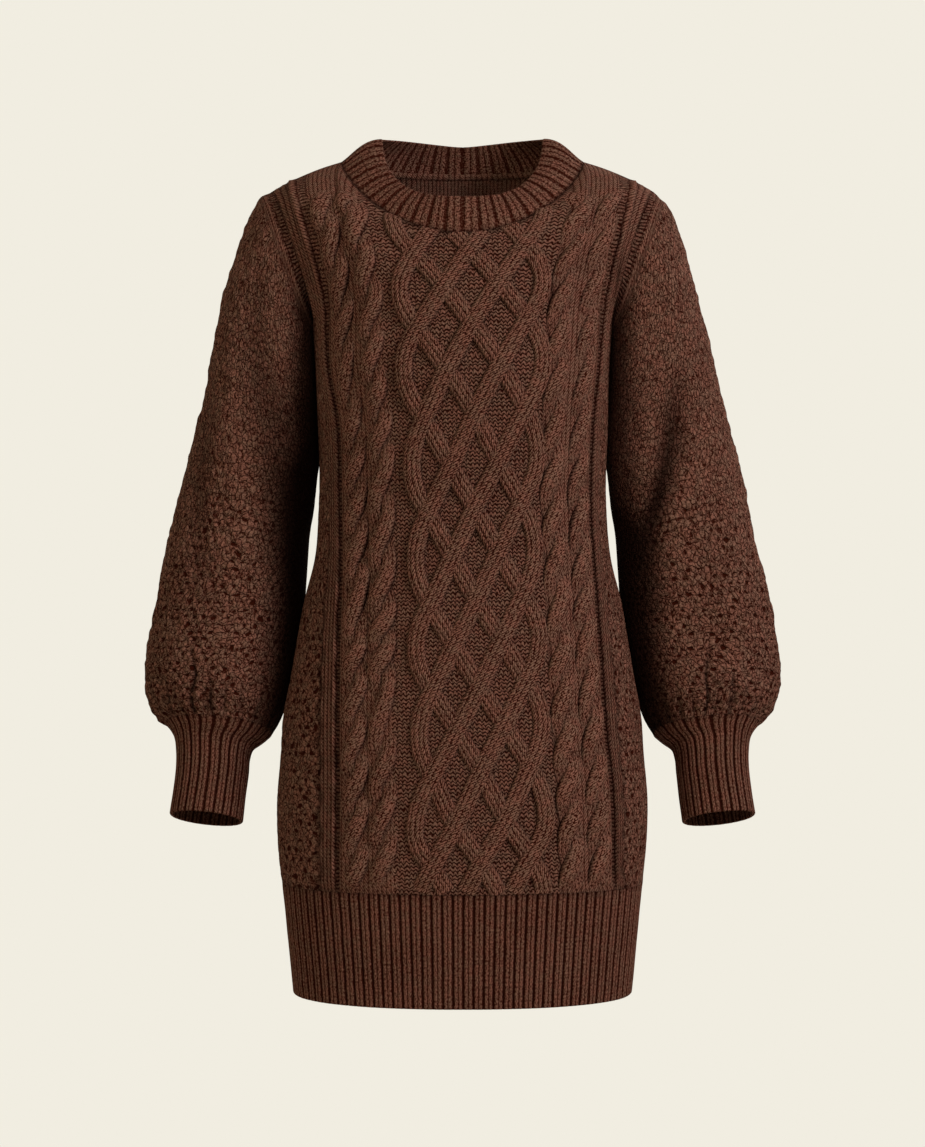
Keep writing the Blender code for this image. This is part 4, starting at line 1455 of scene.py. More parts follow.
@dataclass
class RopeCable(Cable):
    """One rope of two strands that wind round each other, always leaning the same way."""

    dip: float = 2.2
    under_shade: float = 0.15
    name: str = "rope"
    centre: float = -0.868  # the column of its middle
    reach: float = 15.2  # half the rope's width
    gaps: tuple = ()  # heights of the slits between its turns
    top_height: float = -24.0
    strand_half: float = 7.8
    swell: float = 1.6  # extra half width where a strand lies over the other
    base: float = 3.0  # height of a strand halfway under
    lift: float = 4.0  # how much it climbs and dips from there
    lobe: float = 0.25
    end_drop: float = 1.2  # how far its ends dip into the ground
    ring: float = 2.2
    pitch: float = 42.0  # from slit to slit beyond those given

    def phase(self, height: np.ndarray) -> np.ndarray:
        """Count the rope's turns.

        Args:
            height: knitted heights.

        Returns:
            Turns so far at each, with whole numbers at the slits.
        """
        gaps = sorted(self.gaps)
        numbers = list(range(len(gaps)))
        while gaps[0] > self.panel.low - self.pitch:
            gaps.insert(0, gaps[0] - self.pitch)
            numbers.insert(0, numbers[0] - 1)
        while gaps[-1] < self.top_height + self.pitch:
            gaps.append(gaps[-1] + self.pitch)
            numbers.append(numbers[-1] + 1)
        return np.interp(height, gaps, numbers)

    def build(self) -> bpy.types.Object:
        """Make the rope's two strands as one piece.

        Returns:
            The piece.
        """
        cloth, noise = Cloth(), SoftNoise(int(abs(self.centre) * 1000))
        height = np.arange(self.panel.low + 1.0, self.top_height, self.ring)
        phase = np.pad(self.phase(height), 3, mode="edge")
        phase = np.convolve(phase, np.ones(7) / 7, mode="valid")
        for number in (0, 1):
            self.strand(cloth, noise, height, np.pi * (phase + number), number)
        return self.make(cloth, self.name, ["rope knit"], "cable_knit")

    def strand(
        self, cloth: Cloth, noise: SoftNoise, height: np.ndarray, turn: np.ndarray, number: int
    ) -> None:
        """Lay one strand.

        Args:
            cloth: what collects it.
            noise: its unevenness.
            height: heights of its rings.
            turn: how far round the rope it has wound at each, in radians.
            number: 0 or 1, which strand it is.
        """
        front = np.sin(turn)  # 1 where it lies over the other strand, -1 where under
        side = -np.cos(turn) * (self.reach - self.strand_half)
        half = self.strand_half + self.swell * front**2
        width = self.panel.width(np.full(len(height), self.centre), height)
        slope = np.gradient(side) / np.gradient(height)
        s, profile, lobes = self.section(13, 2.8, 0.65)
        flare = 1 + 0.05 * noise(np.stack([side + number * 90, height, 0 * height], -1), 16.0)
        order = np.arange(len(height))
        ends = ease(0, 6, order) * ease(len(height) - 1, len(height) - 14, order)
        top = (self.base + self.lift * front)[:, None] * profile + lobes - 1.0 * (1 - profile)
        lean = np.hypot(1, slope)
        # The strand's shade is painted: dark at its edges, where the slits show, and where it lies
        # under the other.
        self.tube(
            cloth,
            (self.centre + side / width, height, width, 1 / lean, -slope / lean),
            (np.outer(half * flare, s), np.outer(half, (0.5, 0.0, -0.5))),
            top * (0.1 + 0.9 * ends)[:, None] - self.end_drop * (1 - ends)[:, None],
            (1 - 0.95 * np.abs(s) ** 8, 1 - 0.3 * np.clip(-front, 0, 1)),
            np.cumsum(np.hypot(np.gradient(side), np.gradient(height))),
        )


# Each rope: its name, the column of its middle, half its width, and the heights of its slits.
ROPES = (
    (
        "rope_outer_right_side",
        -0.868,
        15.2,
        (-196, -246, -289, -331, -371, -413, -474, -513),
    ),
    (
        "rope_inner_right_side",
        -0.665,
        15.4,
        (-225, -261, -298, -352, -402, -448, -479, -513, -579, -623, -669),
    ),
    (
        "rope_inner_left_side",
        0.678,
        14.8,
        (-208, -250, -297, -339, -380, -423, -476, -514, -556, -597, -634, -673),
    ),
    (
        "rope_outer_left_side",
        0.885,
        14.8,
        (-198, -250, -296, -336, -384, -425, -456, -500, -546, -590, -633, -670),
    ),
)
# Rings across the arm: outer end x and z, inner end x and z, middle y, half depth, forward tilt.
SLEEVE_RINGS = (
    (-191, -32, -150, -165.3, 0, 44, 0),
    (-201.5, -41, -151.5, -178, 2, 50, 0),
    (-210.5, -55, -151.5, -189, 4, 53, 0),
    (-219, -75, -151.5, -201, 6, 55, 0),
    (-227, -101, -151, -215, 8, 56, 0),
    (-235.5, -131, -150.5, -231, 11, 56, 0),
    (-244, -162, -150, -251, 14, 55, 0),
    (-252.5, -196, -149, -273, 17, 55, 0),
    (-261, -232, -148, -299, 20, 55, 0),
    (-269.5, -268, -146.5, -323, 22, 56, -1),
    (-279, -305, -147.5, -347, 24, 57, -2),
    (-289, -346, -151.5, -374, 26, 58, -2),
    (-299.5, -392, -154.5, -407, 28, 60, -2),
    (-309, -436, -158.5, -442, 28, 63, 0),
    (-317, -478, -163.5, -480, 27, 66, 4),
    (-320, -516, -171.5, -519, 22, 67, 9),
    (-316.5, -541, -178, -546, 17, 64, 14),
    (-309, -556, -184.5, -562, 14, 58, 17),
    (-298, -565, -192, -574, 12, 52, 19),
)
CUFF_RINGS = (
    (-298, -565, -192, -574, 12, 52, 19),
    (-292.5, -572, -199.5, -581, 10, 46, 18),
    (-288.5, -580, -209, -588, 7.5, 40, 18),
    (-286.5, -592, -212.5, -598, 4, 36.5, 17.5),
    (-286, -606, -213.5, -612, -0.5, 35, 17.5),
    (-288, -630, -216, -636, -7, 34.5, 17.5),
    (-291, -653, -218.5, -660, -14, 35, 17.5),
)
SLEEVE_FULLNESS = 2.1


def arm_ring(row: Sequence[float], sign: int, angle: np.ndarray, inset: float = 0.0) -> np.ndarray:
    """Find points round one ring of an arm.

    Args:
        row: the ring, as in the tables above.
        sign: 1 for the wearer's left arm, -1 for the right.
        angle: places round it; 0 is its outer end and 90 degrees its front.
        inset: how far inside the form they lie.

    Returns:
        The points.
    """
    outer_x, outer_z, inner_x, inner_z, middle_y, depth, tilt = row
    outer_end = np.array([outer_x, middle_y, outer_z])
    inner_end = np.array([inner_x, middle_y, inner_z])
    half = (outer_end - inner_end) / 2
    forward = np.array([0, -math.cos(math.radians(tilt)), math.sin(math.radians(tilt))])
    c, s = np.cos(angle), np.sin(angle)
    c = np.sign(c) * np.abs(c) ** (2 / SLEEVE_FULLNESS)
    s = np.sign(s) * np.abs(s) ** (2 / SLEEVE_FULLNESS)
    reach, depth = np.linalg.norm(half) - inset, depth - inset
    ring = np.outer(reach * c, unit(half)) + np.outer(depth * s, forward)
    return ((outer_end + inner_end) / 2 + ring) * np.array([-sign, 1, 1])


def along_rings(rings: np.ndarray, count: int) -> np.ndarray:
    """Find rows of points that run smoothly through given rings, evenly spaced along the arm.

    Args:
        rings: the given rings, each with the same number of points.
        count: how many rows to make.

    Returns:
        The rows.
    """
    steps = np.linalg.norm(np.diff(rings, axis=0), axis=-1).mean(axis=1)
    at = np.concatenate([[0], np.cumsum(steps)])
    slopes = np.gradient(rings, at, axis=0)
    place = np.linspace(0, at[-1], count)
    k = np.clip(np.searchsorted(at, place, side="right") - 1, 0, len(at) - 2)
    step = (at[k + 1] - at[k])[:, None, None]
    s = (place - at[k])[:, None, None] / step
    return hermite(s, rings[k], step * slopes[k], rings[k + 1], step * slopes[k + 1])


@dataclass(frozen=True)
class Crease:
    """One soft trough or ridge down a sleeve, with the shade that lies in it."""

    levels: tuple  # heights, rising
    places: tuple  # distance from the dress's middle at each, mm
    widths: tuple  # mm to either side
    heights: tuple  # mm, below 0 for a trough
    darks: tuple  # share of the light that it loses


@dataclass(frozen=True)
class InnerShade:
    """The part of a sleeve that hides from the light beside the body."""

    levels: tuple
    edges: tuple  # distance from the dress's middle at which half the light is lost
    softness: float = 13.0
    dark: float = 0.95  # share of the light that it loses
    start: tuple = (-85, -180)  # heights between which the armhole's ladder falls into shade


LEFT_CREASES = (
    Crease(
        (-420, -392, -361, -321, -282, -242, -200),
        (172, 178, 185.5, 197, 205, 211, 215),
        (11, 12, 14, 13, 14, 12, 10),
        (0, -3, -6, -6, -5.5, -4, 0),
        (0, 0.45, 0.88, 0.88, 0.78, 0.5, 0),
    ),
    Crease(
        (-400, -361, -321, -282, -242, -202, -170),
        (160, 164, 168, 172, 175, 176, 176),
        (10, 11, 12, 12, 12, 10, 10),
        (0, 1, 2, 2.5, 2, 1, 0),
        (0, 0, 0, 0, 0, 0, 0),
    ),
    Crease(
        (-520, -470, -420, -370, -320, -260, -200),
        (250, 248, 246, 246, 244, 242, 240),
        (18, 20, 22, 20, 18, 16, 14),
        (0, -1.5, -2, -1.5, -1, 0, 0),
        (0, 0.05, 0.1, 0.08, 0, 0, 0),
    ),
    Crease(
        (-556, -535, -512, -492, -470),
        (238, 241, 239, 242, 243),
        (1.7, 1.8, 1.8, 1.6, 1.5),
        (-1.5, -3, -3, -2, 0),
        (0.6, 0.95, 0.9, 0.6, 0),
    ),
    Crease(
        (-556, -540, -522, -505),
        (262, 264, 266, 265),
        (1.6, 1.8, 1.7, 1.5),
        (-1, -2.6, -2, 0),
        (0.5, 0.9, 0.7, 0),
    ),
)
RIGHT_CREASES = (
    Crease(
        (-350, -300, -260, -220, -180),
        (192, 188, 186, 196, 205),
        (16, 18, 16, 13, 12),
        (0, -1.5, -2, -1.5, 0),
        (0, 0.45, 0.45, 0.3, 0),
    ),
    Crease(
        (-460, -420, -361, -321, -282, -242, -200),
        (264, 264, 265, 264, 257, 252, 250),
        (14, 14, 12, 12, 12, 10, 10),
        (0, -2, -3, -3.5, -3, -2, 0),
        (0, 0.15, 0.25, 0.3, 0.25, 0.15, 0),
    ),
    Crease(
        (-340, -300, -268, -220, -165, -120, -88),
        (232, 234, 238, 236, 230, 222, 214),
        (16, 16, 14, 14, 13, 12, 12),
        (0, 2, 3, 3.5, 3.5, 2.5, 0),
        (0, 0, 0, 0, 0, 0, 0),
    ),
    Crease(
        (-300, -260, -220, -180, -130, -100),
        (202, 204, 206, 206, 200, 196),
        (12, 13, 13, 12, 10, 10),
        (0, -2, -3, -3, -1.5, 0),
        (0, 0.2, 0.25, 0.25, 0.1, 0),
    ),
    Crease(
        (-556, -536, -513, -490, -466),
        (263, 267, 263, 266, 264),
        (1.7, 1.8, 1.8, 1.6, 1.5),
        (-1.5, -3, -3, -2, 0),
        (0.6, 0.95, 0.9, 0.6, 0),
    ),
    Crease(
        (-556, -540, -525, -505),
        (245, 248, 247, 249),
        (1.6, 1.8, 1.7, 1.5),
        (-1, -2.6, -2, 0),
        (0.5, 0.9, 0.7, 0),
    ),
    Crease(
        (-556, -542, -528, -512),
        (288, 291, 292, 293),
        (1.6, 1.8, 1.7, 1.5),
        (-1, -2, -1.5, 0),
        (0.5, 0.8, 0.6, 0),
    ),
)
LEFT_SHADE = InnerShade(
    (-565, -519, -480, -440, -400, -375, -355, -335, -282, -240, -200, -150),
    (212, 200, 196, 197, 195, 188, 168, 154, 152, 152, 148, 140),
    18.0,
    0.82,
    start=(-105, -200),
)
RIGHT_SHADE = InnerShade(
    (-560, -519, -480, -440, -400, -361, -321, -282, -242, -202, -163, -120),
    (200, 193, 191, 190, 191, 193, 189, 175, 168, 161, 156, 145),
    23.0,
)


@dataclass
class Sleeve(Garment):
    """One balloon sleeve, from the armhole to the cuff seam."""

    side: str = "left"
    sign: int = 1
    cells: int = 46  # of moss knit, all round
    columns: int = 276  # of the grid
    rows: int = 310
    gathers: int = 24
    gather_depth: float = 2.2
    gather_reach: float = 55  # how far they run up from the cuff, mm
    gather_shade: float = 0.32
    ladder_depth: float = 1.7  # of the purl ladder along the armhole
    groove_depth: float = 1.2  # of the thin groove where the moss knit starts
    lump: float = 0.8  # height of the moss knit's loops
    bobble: float = 1.3  # and of its larger unevenness
    ladder_width: float = 6.4  # of the purl ladder along the armhole, mm
    edge_width: float = 14.4  # of the ladder and the plain columns beside it
    creases: tuple = ()
    inner: Optional[InnerShade] = None
    swell_levels: tuple = (-450, -425, -395, -355, -332, -316, -304, -240, -200, -165, -130)
    swell: tuple = (0, -1.5, -2.5, -2.3, -1.4, 0.5, 3.4, 4.3, 4.0, 2.6, 0)  # towards the body, mm
    flat: tuple = (0.46, 0.56)
    area: float = 0.215

    def laid(
        self, base: np.ndarray, angle: np.ndarray, noise: SoftNoise, above_cuff: np.ndarray
    ) -> tuple[np.ndarray, np.ndarray]:
        """Lay the sleeve's soft unevenness, creases and gathers, with the painted shade of the
        creases, the gathers and the inner side.

        Args:
            base: its form, ring by ring.
            angle: places round it.
            noise: its unevenness.
            above_cuff: how far above the cuff each ring lies.

        Returns:
            Height over the form, and the share of light kept.
        """
        outer_side = 1 - ease(0.1, -0.9, np.cos(angle))[None, :]
        out, level = np.abs(base[..., 0]), base[..., 2]
        form = (noise(base, 75.0) * 1.8 + noise(base + 400, 38.0) * 0.8) * outer_side
        form = form + smooth(self.swell_levels, self.swell, level) * (1 - outer_side)
        shade = np.ones(base.shape[:2])
        for crease in self.creases:
            tables = (crease.places, crease.widths, crease.heights, crease.darks)
            middle, wide, height, dark = (smooth(crease.levels, t, level) for t in tables)
            within = np.exp(-(((out - middle) / wide) ** 2))
            form = form + height * within * outer_side
            shade *= 1 - dark * within
        edge = smooth(self.inner.levels, self.inner.edges, level)
        hidden = ease(edge + self.inner.softness, edge - self.inner.softness, out)
        shade *= 1 - self.inner.dark * hidden
        # Gathers: uneven pleats that deepen towards the cuff.
        wander = noise(base * (1, 1, 0.3) + 700, 30.0) * 0.9
        pleat = 0.5 - 0.5 * np.cos(self.gathers * angle[None, :] + wander * 2.5)
        uneven = 14 * noise(base * (1, 1, 0) + 50, 25.0)
        slit = ease(self.gather_reach, 4, above_cuff + uneven) * (1 - pleat) ** 3
        return form - self.gather_depth * slit, shade * (1 - self.gather_shade * slit)

    def build(self) -> bpy.types.Object:
        """Make the sleeve.

        Returns:
            The piece.
        """
        body = self.body
        angle = 2 * np.pi * around(self.columns)
        column = np.full(self.columns, 2.0 * self.sign)
        rise = np.abs(1 - angle / np.pi)
        sides = [body.upper_point(column, rise, facing) for facing in (-1, 1)]
        armhole = np.where((angle <= np.pi)[:, None], *sides)
        rings = np.array([armhole] + [arm_ring(r, self.sign, angle) for r in SLEEVE_RINGS[1:]])
        base = along_rings(rings, self.rows)
        steps = np.linalg.norm(np.diff(base, axis=0), axis=-1).mean(axis=1)
        down = np.concatenate([[0], np.cumsum(steps)])
        far = down[:, None]
        normals = grid_normals(base, closed=True)
        centre = base.mean(axis=1, keepdims=True)
        normals *= np.where(np.sum(normals * (base - centre), -1).mean() > 0, 1, -1)
        noise = SoftNoise(31 if self.sign > 0 else 32)
        order = np.arange(self.rows)[:, None]
        fade = ease(0, 5, order) * ease(self.rows - 1, self.rows - 4, order)
        inner_side = ease(0.1, -0.9, np.cos(angle))[None, :]
        level = base[..., 2]
        form, shade = self.laid(base, angle, noise, far[-1] - far)
        base = base + normals * (form * fade)[..., None]
        across = self.cells * around(self.columns)[None, :] + noise(base + 300, 24.0) * 0.28
        upward = far / MOSS_ROW + noise(base + 900, 22.0) * 0.28
        beyond = ease(self.edge_width - 2, self.edge_width + 3, far)
        eyelets = moss_eyelets(across, upward) * beyond
        # Along the armhole run a purl ladder, two plain columns and a thin groove; the ladder and
        # the groove are painted with shade.
        groove = np.exp(-(((far - self.edge_width) / 1.5) ** 2))
        sunk = ease(0.5, 2.5, far) * ease(self.ladder_width + 0.5, self.ladder_width - 2, far)
        wave = -np.cos(2 * np.pi * (far - self.ladder_width) / 4.0)
        edging = 0.5 * wave * (1 - beyond) * (1 - sunk) * fade
        edging = edging - self.groove_depth * groove - self.ladder_depth * sunk
        edging = edging * (1 - inner_side) * ease(-42, -150, level)
        base = base + normals * edging[..., None]
        low = ease(*self.inner.start, level)
        shade *= (1 - 0.4 * groove) * (1 - (0.15 + 0.7 * low) * sunk)
        lumps = self.lump * (0.6 * noise(base + 1500, 5.5) + 0.4 * noise(base + 1900, 11.0))
        bobbles = self.bobble * noise(base + 2300, 9.5)
        sink = (0.8 + ease(-250, -450, level)) * eyelets * (1 - 0.8 * inner_side)
        raised = (lumps + bobbles) * (1 - inner_side) - sink
        outer = base + normals * (raised * fade)[..., None]
        inner = base - normals * WALL
        outer[0] = armhole + armhole_shift(self.sign) * SEAM_GAP / 2
        half = self.columns // 2
        rim = np.empty_like(armhole)
        rim[: half + 1] = armhole_rim(body, armhole[: half + 1][::-1])[::-1]
        rim[half:] = armhole_rim(body, np.concatenate([armhole[half:], armhole[:1]]))[:-1]
        inner[0] = outer[0] + rim * WALL
        # Painted shade darkens the rows next to the armhole seam.
        shade *= 0.75 + 0.25 * ease(0, 3, order)
        cloth = Cloth()
        outside = cloth.add(outer, shade)
        places = np.stack([across, upward], -1)
        rungs, edge = (int(np.argmin(down < w)) + 1 for w in (self.ladder_width, self.edge_width))
        cloth.cover(outside[edge:], places[edge:], 0, self.cells)
        length = np.linalg.norm(np.roll(armhole, -1, axis=0) - armhole, axis=-1)
        path = np.concatenate([[0], np.cumsum(length)]) / PURL_ROW
        wrap = np.concatenate([outside, outside[:, :1]], axis=1)
        for first, last, wide, finish in (
            (0, rungs, self.ladder_width, 2),
            (rungs, edge, 4.0, 1),
        ):
            rows = slice(first, last + 1)
            strip = np.stack(np.broadcast_arrays(far[rows] / wide, path), -1)
            cloth.cover(wrap[rows], strip, finish)
        pick = np.array([0, 3, *range(9, self.rows - 6, 8), self.rows - 1])
        turn = np.arange(0, self.columns, 6)
        # The plain inside is painted a little into shade.
        inside = cloth.add(inner[np.ix_(pick, turn)], 0.75)
        inside_places = places[np.ix_(pick, turn)]
        cloth.cover(inside, inside_places, 1, self.cells)
        at = around(self.columns)
        for end in (0, -1):
            line, other = outside[end], inside[end]
            first, second = (line, at, places[end]), (other, at[turn], inside_places[end])
            cloth.zip(first, second, 1, self.cells)
        node, knits = f"sleeve_{self.side}", ("moss knit", "plain knit", "ladder")
        return self.make(cloth, f"{node}_knit", knits, "moss_knit", node)


@dataclass
class RibbedBand(Garment):
    """A band of ribs round an opening: two plain columns, then a furrow."""

    node: str = "hem_band"
    ribs: int = 92
    points: int = 10  # across one rib
    relief: float = 1.8  # depth of a furrow, mm
    rows: int = 34  # of the grid
    row_height: float = 3.9
    rim: float = 1.5  # radius of the cast-off edge
    unevenness: float = 0.35
    split: float = 0.2  # depth of the line between a rib's two columns
    inside_points: int = 2  # across one rib of the plain inside
    inside_shade: float = 0.8
    furrow: float = 0.34  # where across half a rib the furrow starts
    furrow_shade: float = 0.35
    seam_dark: float = 0.3  # light lost in the seam
    knit: str = "rib knit"
    flat: tuple = (0.92, 0.11)

    def surface(self, turn: np.ndarray, share: float, lift: np.ndarray) -> np.ndarray:
        """Find points of the band's outer form.

        Args:
            turn: places round the band, in ribs.
            share: 0 at the seam and 1 at the free edge.
            lift: height over the crests' form; negative is inward.

        Returns:
            One point for each place.
        """
        raise NotImplementedError

    def rib(self, turn: np.ndarray) -> np.ndarray:
        """Shape a rib's section, from -relief in a furrow to 0 on its two crests."""
        place = np.abs(turn % 1 - 0.5)
        middle = np.exp(-((place / 0.07) ** 2))
        return -self.relief * ease(self.furrow, 0.5, place) - self.split * middle

    def extras(self, cloth: Cloth) -> None:
        """Add whatever else a band has in the same piece: nothing, for most."""

    def build(self) -> bpy.types.Object:
        """Make the band.

        Returns:
            The piece.
        """
        count = self.ribs * self.points
        turn = np.arange(count) / self.points
        shares = np.linspace(0, 1, self.rows)
        noise = SoftNoise(self.ribs)
        outer = []
        for share in shares:
            ring = self.surface(turn, share, 0 * turn)
            uneven = self.unevenness * noise(ring, 22.0) * ease(0, 0.05, share)
            outer.append(self.surface(turn, share, self.rib(turn) + uneven))
        outer = np.array(outer)
        furrow = ease(0.38, 0.5, np.abs(turn % 1 - 0.5))
        inner_rows = [0, *range(4, self.rows - 1, 5), self.rows - 1]
        depth = self.relief + WALL * 0.7
        sunk = 0 * turn - depth + 0.6 * furrow
        inner = np.array([self.surface(turn, shares[r], sunk) for r in inner_rows])
        step = unit(outer[-1] - outer[-3])
        middle, out = (outer[-1] + inner[-1]) / 2, (outer[-1] - inner[-1]) / 2
        bends = np.radians((30, 60, 90, 120, 150))[:, None, None]
        rims = middle + out * np.cos(bends) + step * self.rim * np.sin(bends)
        cloth = Cloth()
        path = np.linalg.norm(outer[-1] - outer[0], axis=-1).mean()
        up = shares * path / self.row_height
        places = np.stack(np.broadcast_arrays(turn[None, :], up[:, None]), -1)
        # Painted shade lies in the furrows and in the rows by the seam, and more lightly in the
        # rim's furrows.
        near_seam = ease(2, 0, np.arange(self.rows))[:, None]
        shade = (1 - self.furrow_shade * furrow) * (1 - self.seam_dark * near_seam)
        outside = cloth.add(outer, shade)
        cloth.cover(outside, places, 0, self.ribs)
        edge = cloth.add(rims, np.broadcast_to(1 - 0.15 * furrow, rims.shape[:2]))
        rim_up = up[-1] + np.arange(1, 6) * 0.35
        rim_places = np.stack(np.broadcast_arrays(turn[None, :], rim_up[:, None]), -1)
        pick = np.arange(0, count, self.points // self.inside_points)
        inside = cloth.add(inner[:, pick], self.inside_shade)
        inside_places = np.stack(np.broadcast_arrays(turn[None, pick], up[inner_rows][:, None]), -1)
        whole = np.concatenate([outside[-1:], edge])
        cloth.cover(whole, np.concatenate([places[-1:], rim_places]), 0, self.ribs)
        cloth.cover(inside, inside_places, 0, self.ribs)
        ends = (
            (outside[0], places[0], inside[0], inside_places[0]),
            (edge[-1], rim_places[-1], inside[-1], inside_places[-1]),
        )
        for line, line_places, other, other_places in ends:
            first = (line, around(count), line_places)
            second = (other, around(count)[pick], other_places)
            cloth.zip(first, second, 0, self.ribs)
        self.extras(cloth)
        knits = (self.knit, "plain knit")
        return self.make(cloth, f"{self.node}_knit", knits, "rib_knit", self.node)


@dataclass
class HemBand(RibbedBand):
    """The deep band round the hem."""

    rows: int = 36

    @cached_property
    def spacing(self) -> tuple[np.ndarray, np.ndarray]:
        """Count the ribs passed on the way round the seam.

        Returns:
            The count, and the angle at each.
        """
        angle = np.linspace(0, 2 * np.pi, 1441)
        ring = self.body.ring(angle, 0.0, np.float64(self.body.hem_seam - SEAM_GAP / 2))
        steps = np.linalg.norm(np.diff(ring, axis=0), axis=-1)
        length = np.concatenate([[0], np.cumsum(steps)])
        return length / length[-1] * self.ribs, angle

    def surface(self, turn: np.ndarray, share: float, lift: np.ndarray) -> np.ndarray:
        """Find points round the hem; the ribs are evenly spaced at its seam.

        Args:
            turn: places round the band, in ribs.
            share: 0 at the seam and 1 at the free edge.
            lift: height over the crests' form.

        Returns:
            One point for each place.
        """
        top = self.body.hem_seam - SEAM_GAP / 2
        z = np.float64(top + (self.body.hem_edge + self.rim - top) * share)
        flat, inset = (self.body.ring(np.interp(turn, *self.spacing), d, z) for d in (0.0, 1.0))
        return flat + (flat - inset) * lift[:, None]


@dataclass
class Cuff(RibbedBand):
    """One cuff, which fans out above to meet the gathered sleeve."""

    side: str = "left"
    sign: int = 1
    ribs: int = 24
    row_height: float = 3.6
    flat: tuple = (0.24, 0.095)

    @cached_property
    def lines(self) -> tuple[np.ndarray, ...]:
        """Find rows down the cuff's form.

        Returns:
            The rows, and the same rows 1 mm further in.
        """
        fine = 2 * np.pi * around(self.ribs * self.points)
        return tuple(
            along_rings(np.array([arm_ring(r, self.sign, fine, d) for r in CUFF_RINGS]), 201)
            for d in (0.0, 1.0)
        )

    def surface(self, turn: np.ndarray, share: float, lift: np.ndarray) -> np.ndarray:
        """Find points round the cuff, whose last rows make room for the rolled edge.

        Args:
            turn: places round the band, in ribs.
            share: 0 at the seam and 1 at the free edge.
            lift: height over the crests' form.

        Returns:
            One point for each place.
        """
        row = int(round(share * 198))
        flat, inset = (line[row] for line in self.lines)
        pick = np.round(turn / self.ribs * len(flat)).astype(int) % len(flat)
        ring = flat[pick] + (flat[pick] - inset[pick]) * lift[:, None]
        return ring - (0, 0, SEAM_GAP / 2) if row == 0 else ring


@dataclass
class Neckband(RibbedBand):
    """The ribbed crew neckband."""

    node: str = "neckband"
    ribs: int = 44
    inside_points: int = 5
    rows: int = 20
    row_height: float = 3.8
    swell: float = 2.0  # how far the band stands out between its edges
    shoulder_swell: float = 3.4  # the same over the shoulders, near its edge
    length: float = 40.0  # about how far it stands up from its seam, mm
    rim: float = 2.0
    relief: float = 1.25
    furrow: float = 0.4
    furrow_shade: float = 0.05
    inside_shade: float = 1.0
    roll_half: float = 3.4
    roll_depth: float = 0.85
    knit: str = "soft rib knit"
    seam_dark: float = 0.65
    flat: tuple = (0.56, 0.05)

    def surface(self, turn: np.ndarray, share: float, lift: np.ndarray) -> np.ndarray:
        """Find points round the neck, from the seam up to the free edge.

        Args:
            turn: places round the band, in ribs.
            share: 0 at the seam and 1 at the free edge.
            lift: height over the crests' form.

        Returns:
            One point for each place.
        """
        angle = 2 * np.pi * turn / self.ribs
        low, high = self.body.neck_seam(angle), self.body.neck_edge(angle)
        up, outward = self.body.neck_frame(angle)
        reach = np.linalg.norm(high - low, axis=-1, keepdims=True)
        share = SEAM_GAP / 2 / self.length + share * (1 - 1.2 / self.length)
        relief = np.minimum(1, share * 8)
        lifted = np.where(lift > -WALL * 0.5, lift * relief, lift)
        fuller = np.cos(angle) ** 4  # over the shoulders the band rolls outward near its edge
        bulge = self.swell * math.sin(math.pi * min(share, 1)) * (1 - 0.4 * fuller)
        # share**2 * (1 - share) is at most 1 / 6.75.
        late = 6.75 * share**2 * max(1 - share, 0)
        bulge = bulge + self.shoulder_swell * fuller * late + lifted
        return low + up * reach * share + outward * bulge[:, None]

    def extras(self, cloth: Cloth) -> None:
        """Add the flat roll of the seam allowance, which covers the seam inside the neck.

        Args:
            cloth: what collects it.
        """
        count = 220
        angle = 2 * np.pi * around(count)
        up, outward = self.body.neck_frame(angle)
        middle = self.body.neck_seam(angle) - outward * (WALL + 0.15) + up * 2
        section = 2 * np.pi * around(14)
        uneven = 1 + 0.1 * SoftNoise(44)(middle, 20.0)
        across = np.sin(section) * self.roll_half * uneven[:, None]
        through = np.cos(section) * self.roll_depth * (1 + 0.25 * np.cos(2 * section))
        ring = up[:, None] * across[..., None] + outward[:, None] * through[:, None]
        numbers = cloth.add((middle[:, None] + ring).transpose(1, 0, 2), 1.0)
        places = np.stack(np.meshgrid(around(count) * 130, np.arange(15) * 0.6), -1)
        numbers = np.concatenate([numbers, numbers[:1]])
        cloth.cover(numbers, places, 1, 130)


# ---------------------------------------------------------------- studio


